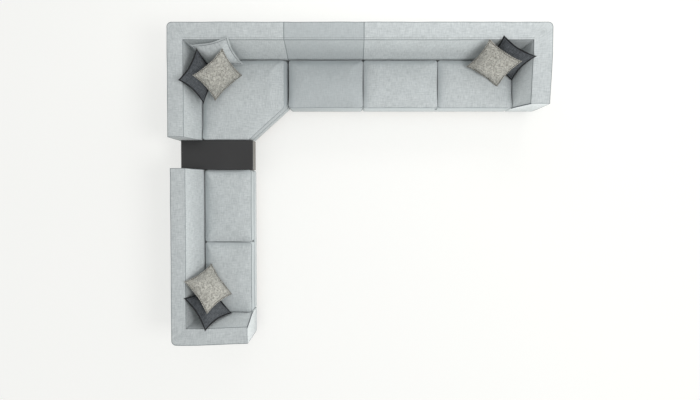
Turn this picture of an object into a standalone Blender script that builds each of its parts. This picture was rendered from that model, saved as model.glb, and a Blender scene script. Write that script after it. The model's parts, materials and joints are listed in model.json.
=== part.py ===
# A modular corner sofa: corner unit, armless seat, two end units with an arm, a console and pillows.
# Metres, +Z up. The origin lies on the floor under the middle of the whole group's plan.
# The rear run lies along X at the far side, the left run along Y, and the open side faces +X, -Y.

from math import ceil, cos, hypot, pi, radians, sin, tan

import bmesh
import bpy
from mathutils import Matrix, Vector
from mathutils.bvhtree import BVHTree

# Heights
back_height = 0.75
arm_front_height = 0.68
seat_height = 0.42
deck_height = 0.245
floor_clearance = 0.11

# Plan sizes of the units
corner_width = 1.338
corner_depth = 1.310
single_width = 0.912
rear_seat_width = 0.9065
left_seat_width = 0.8745
rear_run_depth = 0.918
left_run_depth = 0.868
chamfer_across = 0.472
chamfer_along = 0.429
lower_run_step = 0.025

# Widths of the padded walls, across the flat top band and at the foot by the seat
rear_back_top = 0.208
rear_back_foot = 0.342
left_back_top = 0.190
left_back_foot = 0.302
right_arm_top = 0.227
right_arm_foot = 0.343
lower_arm_top = 0.200
lower_arm_foot = 0.300

# Console
console_height = 0.40
console_width = 0.357
console_length = 0.872
console_setback = 0.035
console_underside = 0.20

# Clearances
touch_gap = 0.0003
seat_gap = 0.003
cut_overrun = 0.02

overall_width = corner_width + single_width + 2 * rear_seat_width + right_arm_foot
overall_depth = corner_depth + console_width + 2 * left_seat_width + lower_arm_foot
left_x = -overall_width / 2
right_x = overall_width / 2
rear_y = overall_depth / 2
lower_y = -overall_depth / 2
lower_left_x = left_x + lower_run_step
corner_x = left_x + corner_width
corner_y = rear_y - corner_depth
single_x = corner_x + single_width
left_end_y = corner_y - console_width
rear_front_y = rear_y - rear_run_depth

up = Vector((0, 0, 1))
to_right = Vector((1, 0, 0))
to_left = Vector((-1, 0, 0))
to_front = Vector((0, -1, 0))
to_rear = Vector((0, 1, 0))


# Materials: colour, roughness and metallic value of each finish
finishes = {
    "upholstery": ((0.52, 0.57, 0.59), 0.92, 0),
    "dark_fabric": ((0.055, 0.062, 0.07), 0.92, 0),
    "patterned_fabric": ((0.42, 0.39, 0.35), 0.92, 0),
    "timber": ((0.50, 0.36, 0.22), 0.7, 0),
    "webbing": ((0.05, 0.05, 0.055), 0.85, 0),
    "lacquer": ((0.018, 0.018, 0.02), 0.35, 0),
    "oak_grey": ((0.31, 0.29, 0.26), 0.55, 0),
    "black_metal": ((0.02, 0.02, 0.022), 0.45, 0.6),
    "steel": ((0.55, 0.56, 0.57), 0.35, 1),
}


def finish_material(finish):
    material = bpy.data.materials.get(finish)
    if material is None:
        colour, roughness, metallic = finishes[finish]
        material = bpy.data.materials.new(finish)
        material.use_nodes = True
        shader = material.node_tree.nodes["Principled BSDF"]
        shader.inputs["Base Color"].default_value = (*colour, 1)
        shader.inputs["Roughness"].default_value = roughness
        shader.inputs["Metallic"].default_value = metallic
        material.diffuse_color = (*colour, 1)
    return material


def new_object(name, bm, finish, smooth_degrees=35):
    """Turn a bmesh into a named object with outward faces, its own finish and smooth round sides."""
    bmesh.ops.recalc_face_normals(bm, faces=bm.faces)
    if bm.calc_volume(signed=True) < 0:
        bmesh.ops.reverse_faces(bm, faces=bm.faces)
    mesh = bpy.data.meshes.new(name)
    bm.to_mesh(mesh)
    bm.free()
    mesh.shade_smooth()
    mesh.set_sharp_from_angle(angle=radians(smooth_degrees))
    mesh.materials.append(finish_material(finish))
    obj = bpy.data.objects.new(name, mesh)
    bpy.context.collection.objects.link(obj)
    return obj


def loft(rings, merge_digits=6):
    """Skin closed rings of points one after another and cap both ends. Points that meet are shared."""
    bm = bmesh.new()
    shared = {}

    def vertex(point):
        key = tuple(round(value, merge_digits) for value in point)
        if key not in shared:
            shared[key] = bm.verts.new(point)
        return shared[key]

    rows = [[vertex(point) for point in ring] for ring in rings]
    count = len(rows[0])
    for row, after in zip(rows, rows[1:]):
        for i in range(count):
            j = (i + 1) % count
            corners = list(dict.fromkeys((row[i], row[j], after[j], after[i])))
            if len(corners) > 2:
                bm.faces.new(corners)
    for row in (rows[0], rows[-1]):
        bm.faces.new(list(dict.fromkeys(row)))
    return bm


def combine(obj, other, operation):
    """Apply a Boolean between two objects and remove the second one."""
    boolean = obj.modifiers.new("cut", "BOOLEAN")
    boolean.operation = operation
    boolean.object = other
    bpy.context.view_layer.update()
    result = obj.evaluated_get(bpy.context.evaluated_depsgraph_get())
    mesh = bpy.data.meshes.new_from_object(result)
    obj.modifiers.remove(boolean)
    obj.data = mesh
    bpy.data.objects.remove(other)


def move_origin(obj, point):
    """Put an object's origin at a point and leave its surface where it is."""
    obj.data.transform(Matrix.Translation(-point))
    obj.location = point
    bpy.context.view_layer.update()


# Outlines in plan
def inset_corners(corners, distance):
    """Move every side of a convex outline, given counter-clockwise, inwards by a distance."""
    moved = []
    count = len(corners)
    for i, corner in enumerate(corners):
        before = (Vector(corner) - Vector(corners[i - 1])).normalized()
        after = (Vector(corners[(i + 1) % count]) - Vector(corner)).normalized()
        inward = Vector((-before.y, before.x))
        half_turn = before.angle_signed(after) / -2
        moved.append(Vector(corner) + inward * distance - before * distance * tan(half_turn))
    return moved


def rounded_outline(corners, radii, arc_steps=3, side_steps=1, draw=0):
    """A closed outline with round corners, whose straight sides are drawn in by a small amount."""
    starts, arcs = [], []
    count = len(corners)
    for i, corner in enumerate(corners):
        corner = Vector(corner)
        before = (corner - Vector(corners[i - 1])).normalized()
        after = (Vector(corners[(i + 1) % count]) - corner).normalized()
        turn = abs(before.angle_signed(after))
        radius = radii[i]
        reach = radius * tan(turn / 2)
        centre = corner - before * reach + Vector((-before.y, before.x)) * radius
        arc = []
        for k in range(arc_steps + 1):
            angle = turn * k / arc_steps
            outward = Vector((before.y, -before.x))
            arc.append(centre + outward * radius * cos(angle) + before * radius * sin(angle))
        arcs.append(arc)
        starts.append(arc[0])
    points = []
    for i, arc in enumerate(arcs):
        points += arc
        side_end = starts[(i + 1) % count]
        side = side_end - arc[-1]
        inward = Vector((-side.y, side.x)).normalized()
        for k in range(1, side_steps):
            share = k / side_steps
            points.append(arc[-1] + side * share + inward * draw * (1 - (2 * share - 1) ** 2))
    return points


def clipped(polygon, corners):
    """The part of a polygon that lies inside a convex counter-clockwise outline."""
    for i, start in enumerate(corners):
        end = corners[(i + 1) % len(corners)]
        along = Vector(end) - Vector(start)

        def inside(point):
            return along.cross(point - Vector(start)) > 0

        kept = []
        for j, point in enumerate(polygon):
            before = polygon[j - 1]
            if inside(point) != inside(before):
                depth_before = along.cross(before - Vector(start))
                depth = along.cross(point - Vector(start))
                kept.append(before.lerp(point, depth_before / (depth_before - depth)))
            if inside(point):
                kept.append(point)
        polygon = kept
    return polygon


def area(polygon):
    return sum(a.cross(b) for a, b in zip(polygon, polygon[1:] + polygon[:1])) / 2


def windows(corners, edge, bar, pitch):
    """Openings of a frame or web: a grid with bars of one width, inside an edge of another."""
    inner = inset_corners(corners, edge)
    low = Vector((min(point.x for point in inner), min(point.y for point in inner)))
    high = Vector((max(point.x for point in inner), max(point.y for point in inner)))
    counts = [max(1, ceil((high[axis] - low[axis]) / pitch)) for axis in (0, 1)]
    cell = [(high[axis] - low[axis] + bar) / counts[axis] for axis in (0, 1)]
    openings = []
    for i in range(counts[0]):
        for j in range(counts[1]):
            x, y = low.x + i * cell[0], low.y + j * cell[1]
            x_end, y_end = x + cell[0] - bar, y + cell[1] - bar
            box = [Vector(point) for point in ((x, y), (x_end, y), (x_end, y_end), (x, y_end))]
            opening = clipped(box, inner)
            if len(opening) > 2 and area(opening) > bar * bar / 2:
                openings.append(opening)
    return openings


def plate(name, outline, openings, thickness, place, finish):
    """A flat board with openings right through it, drawn in its own plane and put in its place."""
    bm = bmesh.new()
    for loop in [outline] + openings:
        verts = [bm.verts.new((point.x, point.y, 0)) for point in loop]
        for a, b in zip(verts, verts[1:] + verts[:1]):
            bm.edges.new((a, b))
    bmesh.ops.triangle_fill(bm, edges=bm.edges, use_beauty=True, use_dissolve=False)
    raised = bmesh.ops.extrude_face_region(bm, geom=list(bm.faces), use_keep_orig=True)
    top = [item for item in raised["geom"] if isinstance(item, bmesh.types.BMVert)]
    bmesh.ops.translate(bm, verts=top, vec=up * thickness)
    bmesh.ops.transform(bm, matrix=place, verts=bm.verts)
    return new_object(name, bm, finish)


def flat_ring(outline, height):
    return [Vector((point.x, point.y, height)) for point in outline]


def slab(name, corners, radius, low, high, edge, finish):
    """A board or block with round vertical corners and eased top and bottom edges."""
    rings = []
    for inset, height in ((edge, low), (0, low + edge), (0, high - edge), (edge, high)):
        moved = inset_corners(corners, inset)
        rings.append(flat_ring(rounded_outline(moved, [radius] * len(corners)), height))
    return new_object(name, loft(rings), finish)


def rectangle(x_low, x_high, y_low, y_high):
    return [Vector(p) for p in ((x_low, y_low), (x_high, y_low), (x_high, y_high), (x_low, y_high))]


# Padded walls: the continuous backs and arms
top_roll = 0.022
seam_roll = 0.012
end_roll = 0.010
outer_corner_radius = 0.055
inner_bulge = 0.018
foot_below_seat = 0.02
inner_corner_ease = 0.03
foam_thickness = 0.045
roll_steps = 3
bulge_steps = 4
end_steps = 2
fan_steps = 4
foot_height = seat_height - foot_below_seat


class Wall:
    """The top and foot widths of one padded wall and its height at the far end."""

    def __init__(self, top, foot, end_height=back_height):
        self.top, self.foot, self.end_height = top, foot, end_height


def cover_profile(wall, top, inset):
    """Section of a padded wall from its outer bottom edge, over the top, down the inner face."""
    crest = top - inset
    points = [(inset, floor_clearance + inset)]
    for k in range(roll_steps + 1):
        angle = pi / 2 * k / roll_steps
        points.append((inset + top_roll * (1 - cos(angle)), crest - top_roll * (1 - sin(angle))))
    inner_top = wall.top - inset
    for k in range(roll_steps + 1):
        angle = pi / 2 * k / roll_steps
        offset = inner_top - seam_roll * (1 - sin(angle))
        points.append((offset, crest - seam_roll * (1 - cos(angle))))
    inner_foot = wall.foot - inset
    slope_top = crest - seam_roll
    for k in range(1, bulge_steps):
        share = k / bulge_steps
        offset = inner_top + (inner_foot - inner_top) * share + inner_bulge * sin(pi * share)
        points.append((offset, slope_top + (foot_height - slope_top) * share))
    points.append((inner_foot, foot_height))
    points.append((inner_foot, floor_clearance + inset))
    return points


def cavity_profile(wall, top):
    """Section of the space for the timber frame inside a padded wall, open below."""
    crest = top - foam_thickness
    below = floor_clearance - cut_overrun
    inner_foot = wall.foot - foam_thickness
    return [
        (foam_thickness, below),
        (foam_thickness, crest),
        (wall.top - foam_thickness, crest),
        (inner_foot, foot_height),
        (inner_foot, below),
    ]


def leg_ring(start, along, across, distance, profile):
    return [start + along * distance + across * offset + up * height for offset, height in profile]


def rounded_end(start, along, across, distance, outward, wall, top):
    """Rings that round off a free end, from the cap inwards."""
    rings = []
    for k in range(end_steps + 1):
        angle = pi / 2 * k / end_steps
        back_from_end = end_roll * (1 - cos(angle))
        inset = end_roll * (1 - sin(angle))
        place = distance - outward * back_from_end
        rings.append(leg_ring(start, along, across, place, cover_profile(wall, top, inset)))
    return rings


def corner_fan(corner, along, across, first, second):
    """Rings round an L's outer corner. They meet in one mitre line on the inner face."""
    rings = []
    radius = outer_corner_radius
    band_mitre = corner + along * second.top + across * first.top
    for k in range(fan_steps + 1):
        angle = pi / 2 * k / fan_steps
        arc = corner + (along * (1 - sin(angle)) + across * (1 - cos(angle))) * radius
        ring = []
        first_points = cover_profile(first, back_height, 0)
        second_points = cover_profile(second, back_height, 0)
        for (depth, height), (other_depth, _) in zip(first_points, second_points):
            if depth < first.top:
                point = arc.lerp(band_mitre, depth / first.top)
            else:
                point = corner + along * other_depth + across * depth
            ring.append(point + up * height)
        rings.append(ring)
    return rings


def corner_cover(name, corner, along, across, lengths, walls):
    """An L-shaped padded cover: one leg runs along, the other across, both from the outer corner."""
    first, second = walls
    rings = rounded_end(corner, along, across, lengths[0], 1, first, first.end_height)
    inner = second.foot + inner_corner_ease
    rings.append(leg_ring(corner, along, across, inner, cover_profile(first, back_height, 0)))
    rings += corner_fan(corner, along, across, first, second)
    inner = first.foot + inner_corner_ease
    rings.append(leg_ring(corner, across, along, inner, cover_profile(second, back_height, 0)))
    end = rounded_end(corner, across, along, lengths[1], 1, second, second.end_height)
    cover = new_object(name, loft(rings + end[::-1]), "upholstery")

    hollow = [leg_ring(corner, along, across, lengths[0] - foam_thickness,
                       cavity_profile(first, first.end_height))]
    mitre = []
    for (depth, height), (other, _) in zip(cavity_profile(first, back_height),
                                           cavity_profile(second, back_height)):
        mitre.append(corner + along * other + across * depth + up * height)
    hollow.append(mitre)
    hollow.append(leg_ring(corner, across, along, inner, cavity_profile(second, back_height)))
    hollow.append(leg_ring(corner, across, along, lengths[1] - foam_thickness,
                           cavity_profile(second, second.end_height)))
    combine(cover, new_object("hollow", loft(hollow), "timber"), "DIFFERENCE")
    return cover


def straight_cover(name, start, along, across, length, wall):
    rings = rounded_end(start, along, across, 0, -1, wall, back_height)
    rings += rounded_end(start, along, across, length, 1, wall, back_height)[::-1]
    cover = new_object(name, loft(rings), "upholstery")
    hollow = [leg_ring(start, along, across, distance, cavity_profile(wall, back_height))
              for distance in (foam_thickness, length - foam_thickness)]
    combine(cover, new_object("hollow", loft(hollow), "timber"), "DIFFERENCE")
    return cover


# Timber frames inside the padded walls
board_thickness = 0.040
post_width = 0.050
post_pitch = 0.400
rail_rows = 2


def wall_frame(name, start, along, across, first, last, wall_top):
    """A level ladder of posts and rails just inside the outer wall of a cover, under its top."""
    length = last - first
    height = wall_top - foam_thickness - touch_gap - floor_clearance
    bays = max(1, ceil(length / post_pitch))
    bay = (length - post_width) / bays
    row_height = (height - post_width) / rail_rows
    openings = []
    for i in range(bays):
        left = post_width + i * bay
        for row in range(rail_rows):
            low = post_width + row * row_height
            openings.append(rectangle(left, left + bay - post_width,
                                      low, low + row_height - post_width))
    place = Matrix((along, up, across)).transposed().to_4x4()
    place.translation = (start + along * first + across * (foam_thickness + touch_gap)
                         + up * floor_clearance)
    plate(name, rectangle(0, length, 0, height), openings, board_thickness, place, "timber")


# Bases: a timber frame with webbing on top, inside an upholstered skirt
skirt_thickness = 0.018
skirt_radius = 0.030
rail_width = 0.050
rail_pitch = 0.400
webbing_thickness = 0.004
strap_width = 0.050
strap_pitch = 0.175
chamfer_radius = 0.10


def plan_place(height):
    return Matrix.Translation(up * height)


def base(unit, corners, radii):
    outline = rounded_outline(corners, radii)
    inner_corners = inset_corners(corners, skirt_thickness)
    inner_radii = [max(radius - skirt_thickness, touch_gap) for radius in radii]
    inner = rounded_outline(inner_corners, inner_radii)
    skirt_height = deck_height - floor_clearance
    plate(unit + "_skirt", outline, [inner], skirt_height, plan_place(floor_clearance), "upholstery")

    frame_corners = inset_corners(corners, skirt_thickness + touch_gap)
    frame_radii = [max(radius - skirt_thickness - touch_gap, touch_gap) for radius in radii]
    frame_outline = rounded_outline(frame_corners, frame_radii)
    bays = windows(frame_corners, rail_width, rail_width, rail_pitch)
    frame_height = skirt_height - webbing_thickness - touch_gap
    plate(unit + "_base_frame", frame_outline, bays, frame_height,
          plan_place(floor_clearance), "timber")
    mesh_windows = windows(frame_corners, rail_width, strap_width, strap_pitch)
    plate(unit + "_webbing", frame_outline, mesh_windows, webbing_thickness,
          plan_place(deck_height - webbing_thickness), "webbing")


# Seat cushions
seat_crown = 0.022
seat_top_edge = 0.034
seat_bottom_edge = 0.020
seat_side_bulge = 0.004
seat_draw = 0.005
seat_corner_radius = 0.035
seat_side_steps = 4
crown_ring_shares = (0.80, 0.55, 0.28)


def seat_cushion(name, corners, radii):
    """A boxed cushion: drawn-in sides, soft edges and a crown that rises to the middle."""
    corners = inset_corners(corners, seat_gap + seat_side_bulge)
    outline = rounded_outline(corners, radii, side_steps=seat_side_steps, draw=seat_draw)
    centre = sum(outline, Vector((0, 0))) / len(outline)
    half_width = min(hypot(*(point - centre)) for point in outline)
    low, edge_top = deck_height + touch_gap, seat_height - seat_crown
    soft = 1 - cos(pi / 4)
    levels = [
        (seat_bottom_edge, low),
        (seat_bottom_edge * soft, low + seat_bottom_edge * soft),
        (0, low + seat_bottom_edge),
        (-seat_side_bulge, (low + edge_top) / 2),
        (0, edge_top - seat_top_edge),
        (seat_top_edge * soft, edge_top - seat_top_edge * soft),
        (seat_top_edge, edge_top),
    ]
    rings = []
    for inset, height in levels:
        scale = 1 - inset / half_width
        rings.append(flat_ring([centre + (point - centre) * scale for point in outline], height))
    flat_share = 1 - seat_top_edge / half_width
    for share in crown_ring_shares:
        height = edge_top + seat_crown * (1 - share ** 2)
        ring = [centre + (point - centre) * flat_share * share for point in outline]
        rings.append(flat_ring(ring, height))
    cushion = new_object(name, loft(rings), "upholstery", smooth_degrees=70)
    move_origin(cushion, Vector((centre.x, centre.y, low)))
    return cushion


# Feet
foot_top_radius = 0.022
foot_sole_radius = 0.015
foot_plate_radius = 0.030
foot_plate_thickness = 0.004
foot_inset = 0.055
foot_sides = 12


def foot(name, x, y):
    """A turned tapered foot with its round fixing plate."""
    plate_bottom = floor_clearance - touch_gap - foot_plate_thickness
    rings = []
    for radius, height in (
        (foot_sole_radius, 0),
        (foot_top_radius, plate_bottom),
        (foot_plate_radius, plate_bottom),
        (foot_plate_radius, plate_bottom + foot_plate_thickness),
    ):
        ring = []
        for k in range(foot_sides):
            angle = 2 * pi * k / foot_sides
            ring.append(Vector((x + radius * cos(angle), y + radius * sin(angle), height)))
        rings.append(ring)
    return new_object(name, loft(rings), "black_metal")


def feet(unit, places):
    for i, (x, y) in enumerate(places):
        foot(f"{unit}_foot_{i + 1}", x, y)


# Plates that tie neighbouring units together from below
link_length = 0.160
link_width = 0.040
link_thickness = 0.004
link_corner_radius = 0.008
link_edge = 0.0008
bolt_head_radius = 0.009
bolt_head_height = 0.006
bolt_inset = 0.025
bolt_sides = 6
link_share = 0.35


def link_plate(name, x, y):
    """A flat steel plate across the joint of two bases, with its two bolt heads."""
    top = floor_clearance - touch_gap
    half_length, half_width = link_length / 2, link_width / 2
    corners = rectangle(x - half_length, x + half_length, y - half_width, y + half_width)
    link = slab(name, corners, link_corner_radius, top - link_thickness, top, link_edge, "steel")
    head_bottom = top - link_thickness - bolt_head_height
    for side in (-1, 1):
        centre_x = x + side * (half_length - bolt_inset)
        rings = []
        for height in (head_bottom, top - link_thickness / 2):
            ring = []
            for k in range(bolt_sides):
                angle = 2 * pi * k / bolt_sides
                ring.append(Vector((centre_x + bolt_head_radius * cos(angle),
                                    y + bolt_head_radius * sin(angle), height)))
            rings.append(ring)
        combine(link, new_object("head", loft(rings), "steel"), "UNION")
    return link


# Console
console_top_thickness = 0.026
console_edge = 0.002
console_corner_radius = 0.004
console_front_thickness = 0.018
console_front_reveal = 0.004
stand_inset = 0.045
stand_bar = 0.025
stand_leg = 0.021


def console():
    x_low = left_x + console_setback
    x_high = x_low + console_length
    y_low, y_high = left_end_y + touch_gap, corner_y - touch_gap
    top_low = console_height - console_top_thickness
    slab("console_top", rectangle(x_low, x_high, y_low, y_high), console_corner_radius,
         top_low, console_height, console_edge, "lacquer")
    box_high = top_low - touch_gap
    front_low = x_high - console_front_reveal - console_front_thickness
    slab("console_carcass", rectangle(x_low, front_low - touch_gap, y_low, y_high),
         console_corner_radius, console_underside, box_high, console_edge, "oak_grey")
    slab("console_front",
         rectangle(front_low, x_high - console_front_reveal, y_low, y_high),
         console_corner_radius, console_underside, box_high, console_edge, "oak_grey")
    console_stand(rectangle(x_low + stand_inset, front_low - stand_inset,
                            y_low + stand_inset, y_high - stand_inset))


def console_stand(corners):
    """A low frame of square bar: four legs under a ring that carries the carcass."""
    ring_top = console_underside - touch_gap
    inner = inset_corners(corners, stand_bar)
    stand = plate("console_stand", corners, [inner], stand_bar,
                  plan_place(ring_top - stand_bar), "black_metal")
    half = stand_leg / 2
    for middle in inset_corners(corners, stand_bar / 2):
        leg_corners = rectangle(middle.x - half, middle.x + half, middle.y - half, middle.y + half)
        rings = [flat_ring(leg_corners, height) for height in (0, ring_top - stand_bar / 2)]
        combine(stand, new_object("leg", loft(rings), "black_metal"), "UNION")
    return stand


# Scatter pillows
pillow_side = 0.44
pillow_thickness = 0.12
pillow_draw_share = 0.07
pillow_steps = 10
pillow_fullness = 0.55
approach = 0.25
pillow_rise = 0.003
march_step = 0.01
halvings = 6

# Each pillow's place, as shares of its unit's length and depth from the unit's outer corner
pillow_place_shares = {
    "corner_light_pillow": (0.408, 0.247),
    "corner_dark_pillow": (0.273, 0.461),
    "corner_patterned_pillow": (0.417, 0.443),
    "right_end_dark_pillow": (0.244, 0.54),
    "right_end_patterned_pillow": (0.312, 0.546),
    "left_end_dark_pillow": (0.214, 0.468),
    "left_end_patterned_pillow": (0.315, 0.467),
}

# Each pillow's turn about its own middle, its lean up from lying flat, and where its face looks
pillow_degrees = {
    "corner_light_pillow": (-77, 61, -84),
    "corner_dark_pillow": (-31, 61, -12),
    "corner_patterned_pillow": (-49, 56, -40),
    "right_end_dark_pillow": (-33, 58, -116),
    "right_end_patterned_pillow": (-36, 53, -118),
    "left_end_dark_pillow": (-57, 58, 37),
    "left_end_patterned_pillow": (-55, 56, 34),
}


def pillow(name, finish, side=pillow_side, thickness=pillow_thickness):
    """Two bulging faces sewn along a square edge, which the filling draws in between its corners."""
    bm = bmesh.new()
    half = side / 2
    shares = [sin(pi / 2 * (2 * k / pillow_steps - 1)) for k in range(pillow_steps + 1)]
    sheets = []
    for face in (1, -1):
        sheet = {}
        for i, u in enumerate(shares):
            for j, v in enumerate(shares):
                on_edge = i in (0, pillow_steps) or j in (0, pillow_steps)
                if face < 0 and on_edge:
                    sheet[i, j] = sheets[0][i, j]
                    continue
                x = half * u * (1 - pillow_draw_share * u * u * (1 - v * v))
                y = half * v * (1 - pillow_draw_share * v * v * (1 - u * u))
                swell = 0 if on_edge else ((1 - u * u) * (1 - v * v)) ** pillow_fullness
                sheet[i, j] = bm.verts.new((x, y, face * thickness / 2 * swell))
        sheets.append(sheet)
        for i in range(pillow_steps):
            for j in range(pillow_steps):
                corners = [sheet[i, j], sheet[i + 1, j], sheet[i + 1, j + 1], sheet[i, j + 1]]
                bm.faces.new(corners)
    return new_object(name, bm, finish, smooth_degrees=80)


def tree_of(obj, shift=Vector()):
    points = [obj.matrix_world @ vert.co + shift for vert in obj.data.vertices]
    obj.data.calc_loop_triangles()
    triangles = [triangle.vertices[:] for triangle in obj.data.loop_triangles]
    return BVHTree.FromPolygons(points, triangles)


def free_travel(obj, direction, reach, supports):
    """How far an object can move in a direction before it meets a support."""
    trees = [tree_of(support) for support in supports]

    def blocked(distance):
        moved = tree_of(obj, direction * distance)
        return any(moved.overlap(tree) for tree in trees)

    clear = 0
    while clear < reach and not blocked(clear + march_step):
        clear += march_step
    step = march_step
    for _ in range(halvings):
        step /= 2
        if not blocked(clear + step):
            clear += step
    return clear


def move(obj, shift):
    obj.location = obj.location + shift
    bpy.context.view_layer.update()


def rest_pillow(name, finish, unit_corner, unit_along, unit_across, seat, supports):
    """Lean a pillow: lower it to the seat, push it to what it leans on, then let it sink to rest."""
    obj = pillow(name, finish)
    along_share, across_share = pillow_place_shares[name]
    turn, lean, facing = (radians(angle) for angle in pillow_degrees[name])
    place = unit_corner + unit_along * along_share + unit_across * across_share
    forward = Vector((cos(facing), sin(facing), 0))
    tilt = Matrix.Rotation(lean, 4, up.cross(forward))
    obj.rotation_euler = (tilt @ Matrix.Rotation(turn, 4, "Z")).to_euler()
    drop = back_height + pillow_side
    obj.location = place + up * drop
    bpy.context.view_layer.update()
    move(obj, -up * free_travel(obj, -up, drop, [seat]))
    move(obj, forward * approach + up * pillow_rise)
    move(obj, -forward * (free_travel(obj, -forward, 2 * approach, supports) - touch_gap))
    move(obj, -up * (free_travel(obj, -up, drop, [seat] + supports) - touch_gap))
    return obj


def corner_pillows(cover, seat):
    unit = (Vector((left_x, rear_y, 0)), to_right * corner_width, to_front * corner_depth)
    light = rest_pillow("corner_light_pillow", "upholstery", *unit, seat, [cover])
    dark = rest_pillow("corner_dark_pillow", "dark_fabric", *unit, seat, [cover, light])
    rest_pillow("corner_patterned_pillow", "patterned_fabric", *unit, seat, [cover, light, dark])


def end_pillows(unit_name, unit, cover, seat):
    dark = rest_pillow(unit_name + "_dark_pillow", "dark_fabric", *unit, seat, [cover])
    patterned = unit_name + "_patterned_pillow"
    rest_pillow(patterned, "patterned_fabric", *unit, seat, [cover, dark])


def remove_all():
    for obj in list(bpy.data.objects):
        bpy.data.objects.remove(obj)


def corner_unit():
    rear_wall = Wall(rear_back_top, rear_back_foot)
    left_wall = Wall(left_back_top, left_back_foot)
    corner = Vector((left_x, rear_y, 0))
    cover = corner_cover("corner_back_cover", corner, to_right, to_front,
                         (corner_width - touch_gap, corner_depth), (rear_wall, left_wall))
    inside = foam_thickness + touch_gap
    wall_frame("corner_rear_frame", corner, to_right, to_front,
               inside, corner_width - touch_gap - inside, back_height)
    wall_frame("corner_side_frame", corner, to_front, to_right,
               inside + board_thickness + touch_gap, corner_depth - inside, back_height)
    x_low, y_high = left_x + left_back_foot + touch_gap, rear_y - rear_back_foot - touch_gap
    x_high, y_low = corner_x - touch_gap, corner_y
    corners = [Vector(p) for p in (
        (x_low, y_low), (x_high - chamfer_across, y_low), (x_high, y_low + chamfer_along),
        (x_high, y_high), (x_low, y_high))]
    radii = [skirt_radius, chamfer_radius / 2, chamfer_radius, skirt_radius, skirt_radius]
    base("corner", corners, radii)
    seat = seat_cushion("corner_seat_cushion", corners, radii)
    middle = (corners[1] + corners[2]) / 2 + Vector((-foot_inset, foot_inset))
    feet("corner", [(left_x + foot_inset, rear_y - foot_inset),
                    (corner_x - foot_inset, rear_y - foot_inset),
                    (left_x + foot_inset, corner_y + foot_inset), tuple(middle)])
    return cover, seat


def single_unit():
    start = Vector((corner_x, rear_y, 0))
    length = single_width - touch_gap
    wall = Wall(rear_back_top, rear_back_foot)
    straight_cover("single_back_cover", start, to_right, to_front, length, wall)
    inside = foam_thickness + touch_gap
    wall_frame("single_back_frame", start, to_right, to_front, inside, length - inside, back_height)
    corners = rectangle(corner_x, single_x - touch_gap, rear_front_y,
                        rear_y - rear_back_foot - touch_gap)
    base("single", corners, [skirt_radius] * 4)
    seat_cushion("single_seat_cushion", corners, [seat_corner_radius] * 4)
    rear_foot_y, front_foot_y = rear_y - foot_inset, rear_front_y + foot_inset
    feet("single", [(x, y) for x in (corner_x + foot_inset, single_x - foot_inset)
                    for y in (rear_foot_y, front_foot_y)])


def end_unit(unit, corner, along, across, depth, seat_width, back_wall, arm_wall):
    """A two-seat unit: its back runs along from the outer corner, its arm across."""
    length = 2 * seat_width + arm_wall.foot - touch_gap
    cover = corner_cover(unit + "_back_and_arm_cover", corner, along, across,
                         (length, depth), (back_wall, arm_wall))
    inside = foam_thickness + touch_gap
    wall_frame(unit + "_back_frame", corner, along, across, inside, length - inside, back_height)
    lower_end = min(back_height, arm_wall.end_height)
    wall_frame(unit + "_arm_frame", corner, across, along,
               inside + board_thickness + touch_gap, depth - inside, lower_end)

    def plan(distance, offset):
        return (corner + along * distance + across * offset).to_2d()

    def area_of(first_distance, last_distance):
        ends = [plan(first_distance, back_wall.foot + touch_gap), plan(last_distance, depth)]
        xs, ys = sorted(end.x for end in ends), sorted(end.y for end in ends)
        return rectangle(*xs, *ys)

    arm_side = arm_wall.foot + touch_gap
    base(unit, area_of(arm_side, length), [skirt_radius] * 4)
    middle = arm_side + seat_width
    radii = [seat_corner_radius] * 4
    near_arm = seat_cushion(unit + "_seat_cushion_arm", area_of(arm_side, middle), radii)
    seat_cushion(unit + "_seat_cushion_inner", area_of(middle, length), radii)
    far, near = length - foot_inset, foot_inset
    front, rear = depth - foot_inset, foot_inset
    feet(unit, [tuple(plan(distance, offset)) for distance, offset in (
        (near, rear), (far, rear), (near, front), (far, front), (middle, front))])
    return cover, near_arm


def build():
    remove_all()
    corner_pillows(*corner_unit())
    single_unit()
    corner = Vector((right_x, rear_y, 0))
    length = 2 * rear_seat_width + right_arm_foot
    right = end_unit("right_end", corner, to_left, to_front, rear_run_depth, rear_seat_width,
                     Wall(rear_back_top, rear_back_foot),
                     Wall(right_arm_top, right_arm_foot, arm_front_height))
    end_pillows("right_end", (corner, to_left * length, to_front * rear_run_depth), *right)
    corner = Vector((lower_left_x, lower_y, 0))
    length = 2 * left_seat_width + lower_arm_foot
    left = end_unit("left_end", corner, to_rear, to_right, left_run_depth, left_seat_width,
                    Wall(left_back_top, left_back_foot),
                    Wall(lower_arm_top, lower_arm_foot, arm_front_height))
    end_pillows("left_end", (corner, to_rear * length, to_right * left_run_depth), *left)
    console()
    link_y = rear_front_y + rear_run_depth * link_share
    link_plate("corner_single_link", corner_x, link_y)
    link_plate("single_right_end_link", single_x, link_y)


build()
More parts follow.
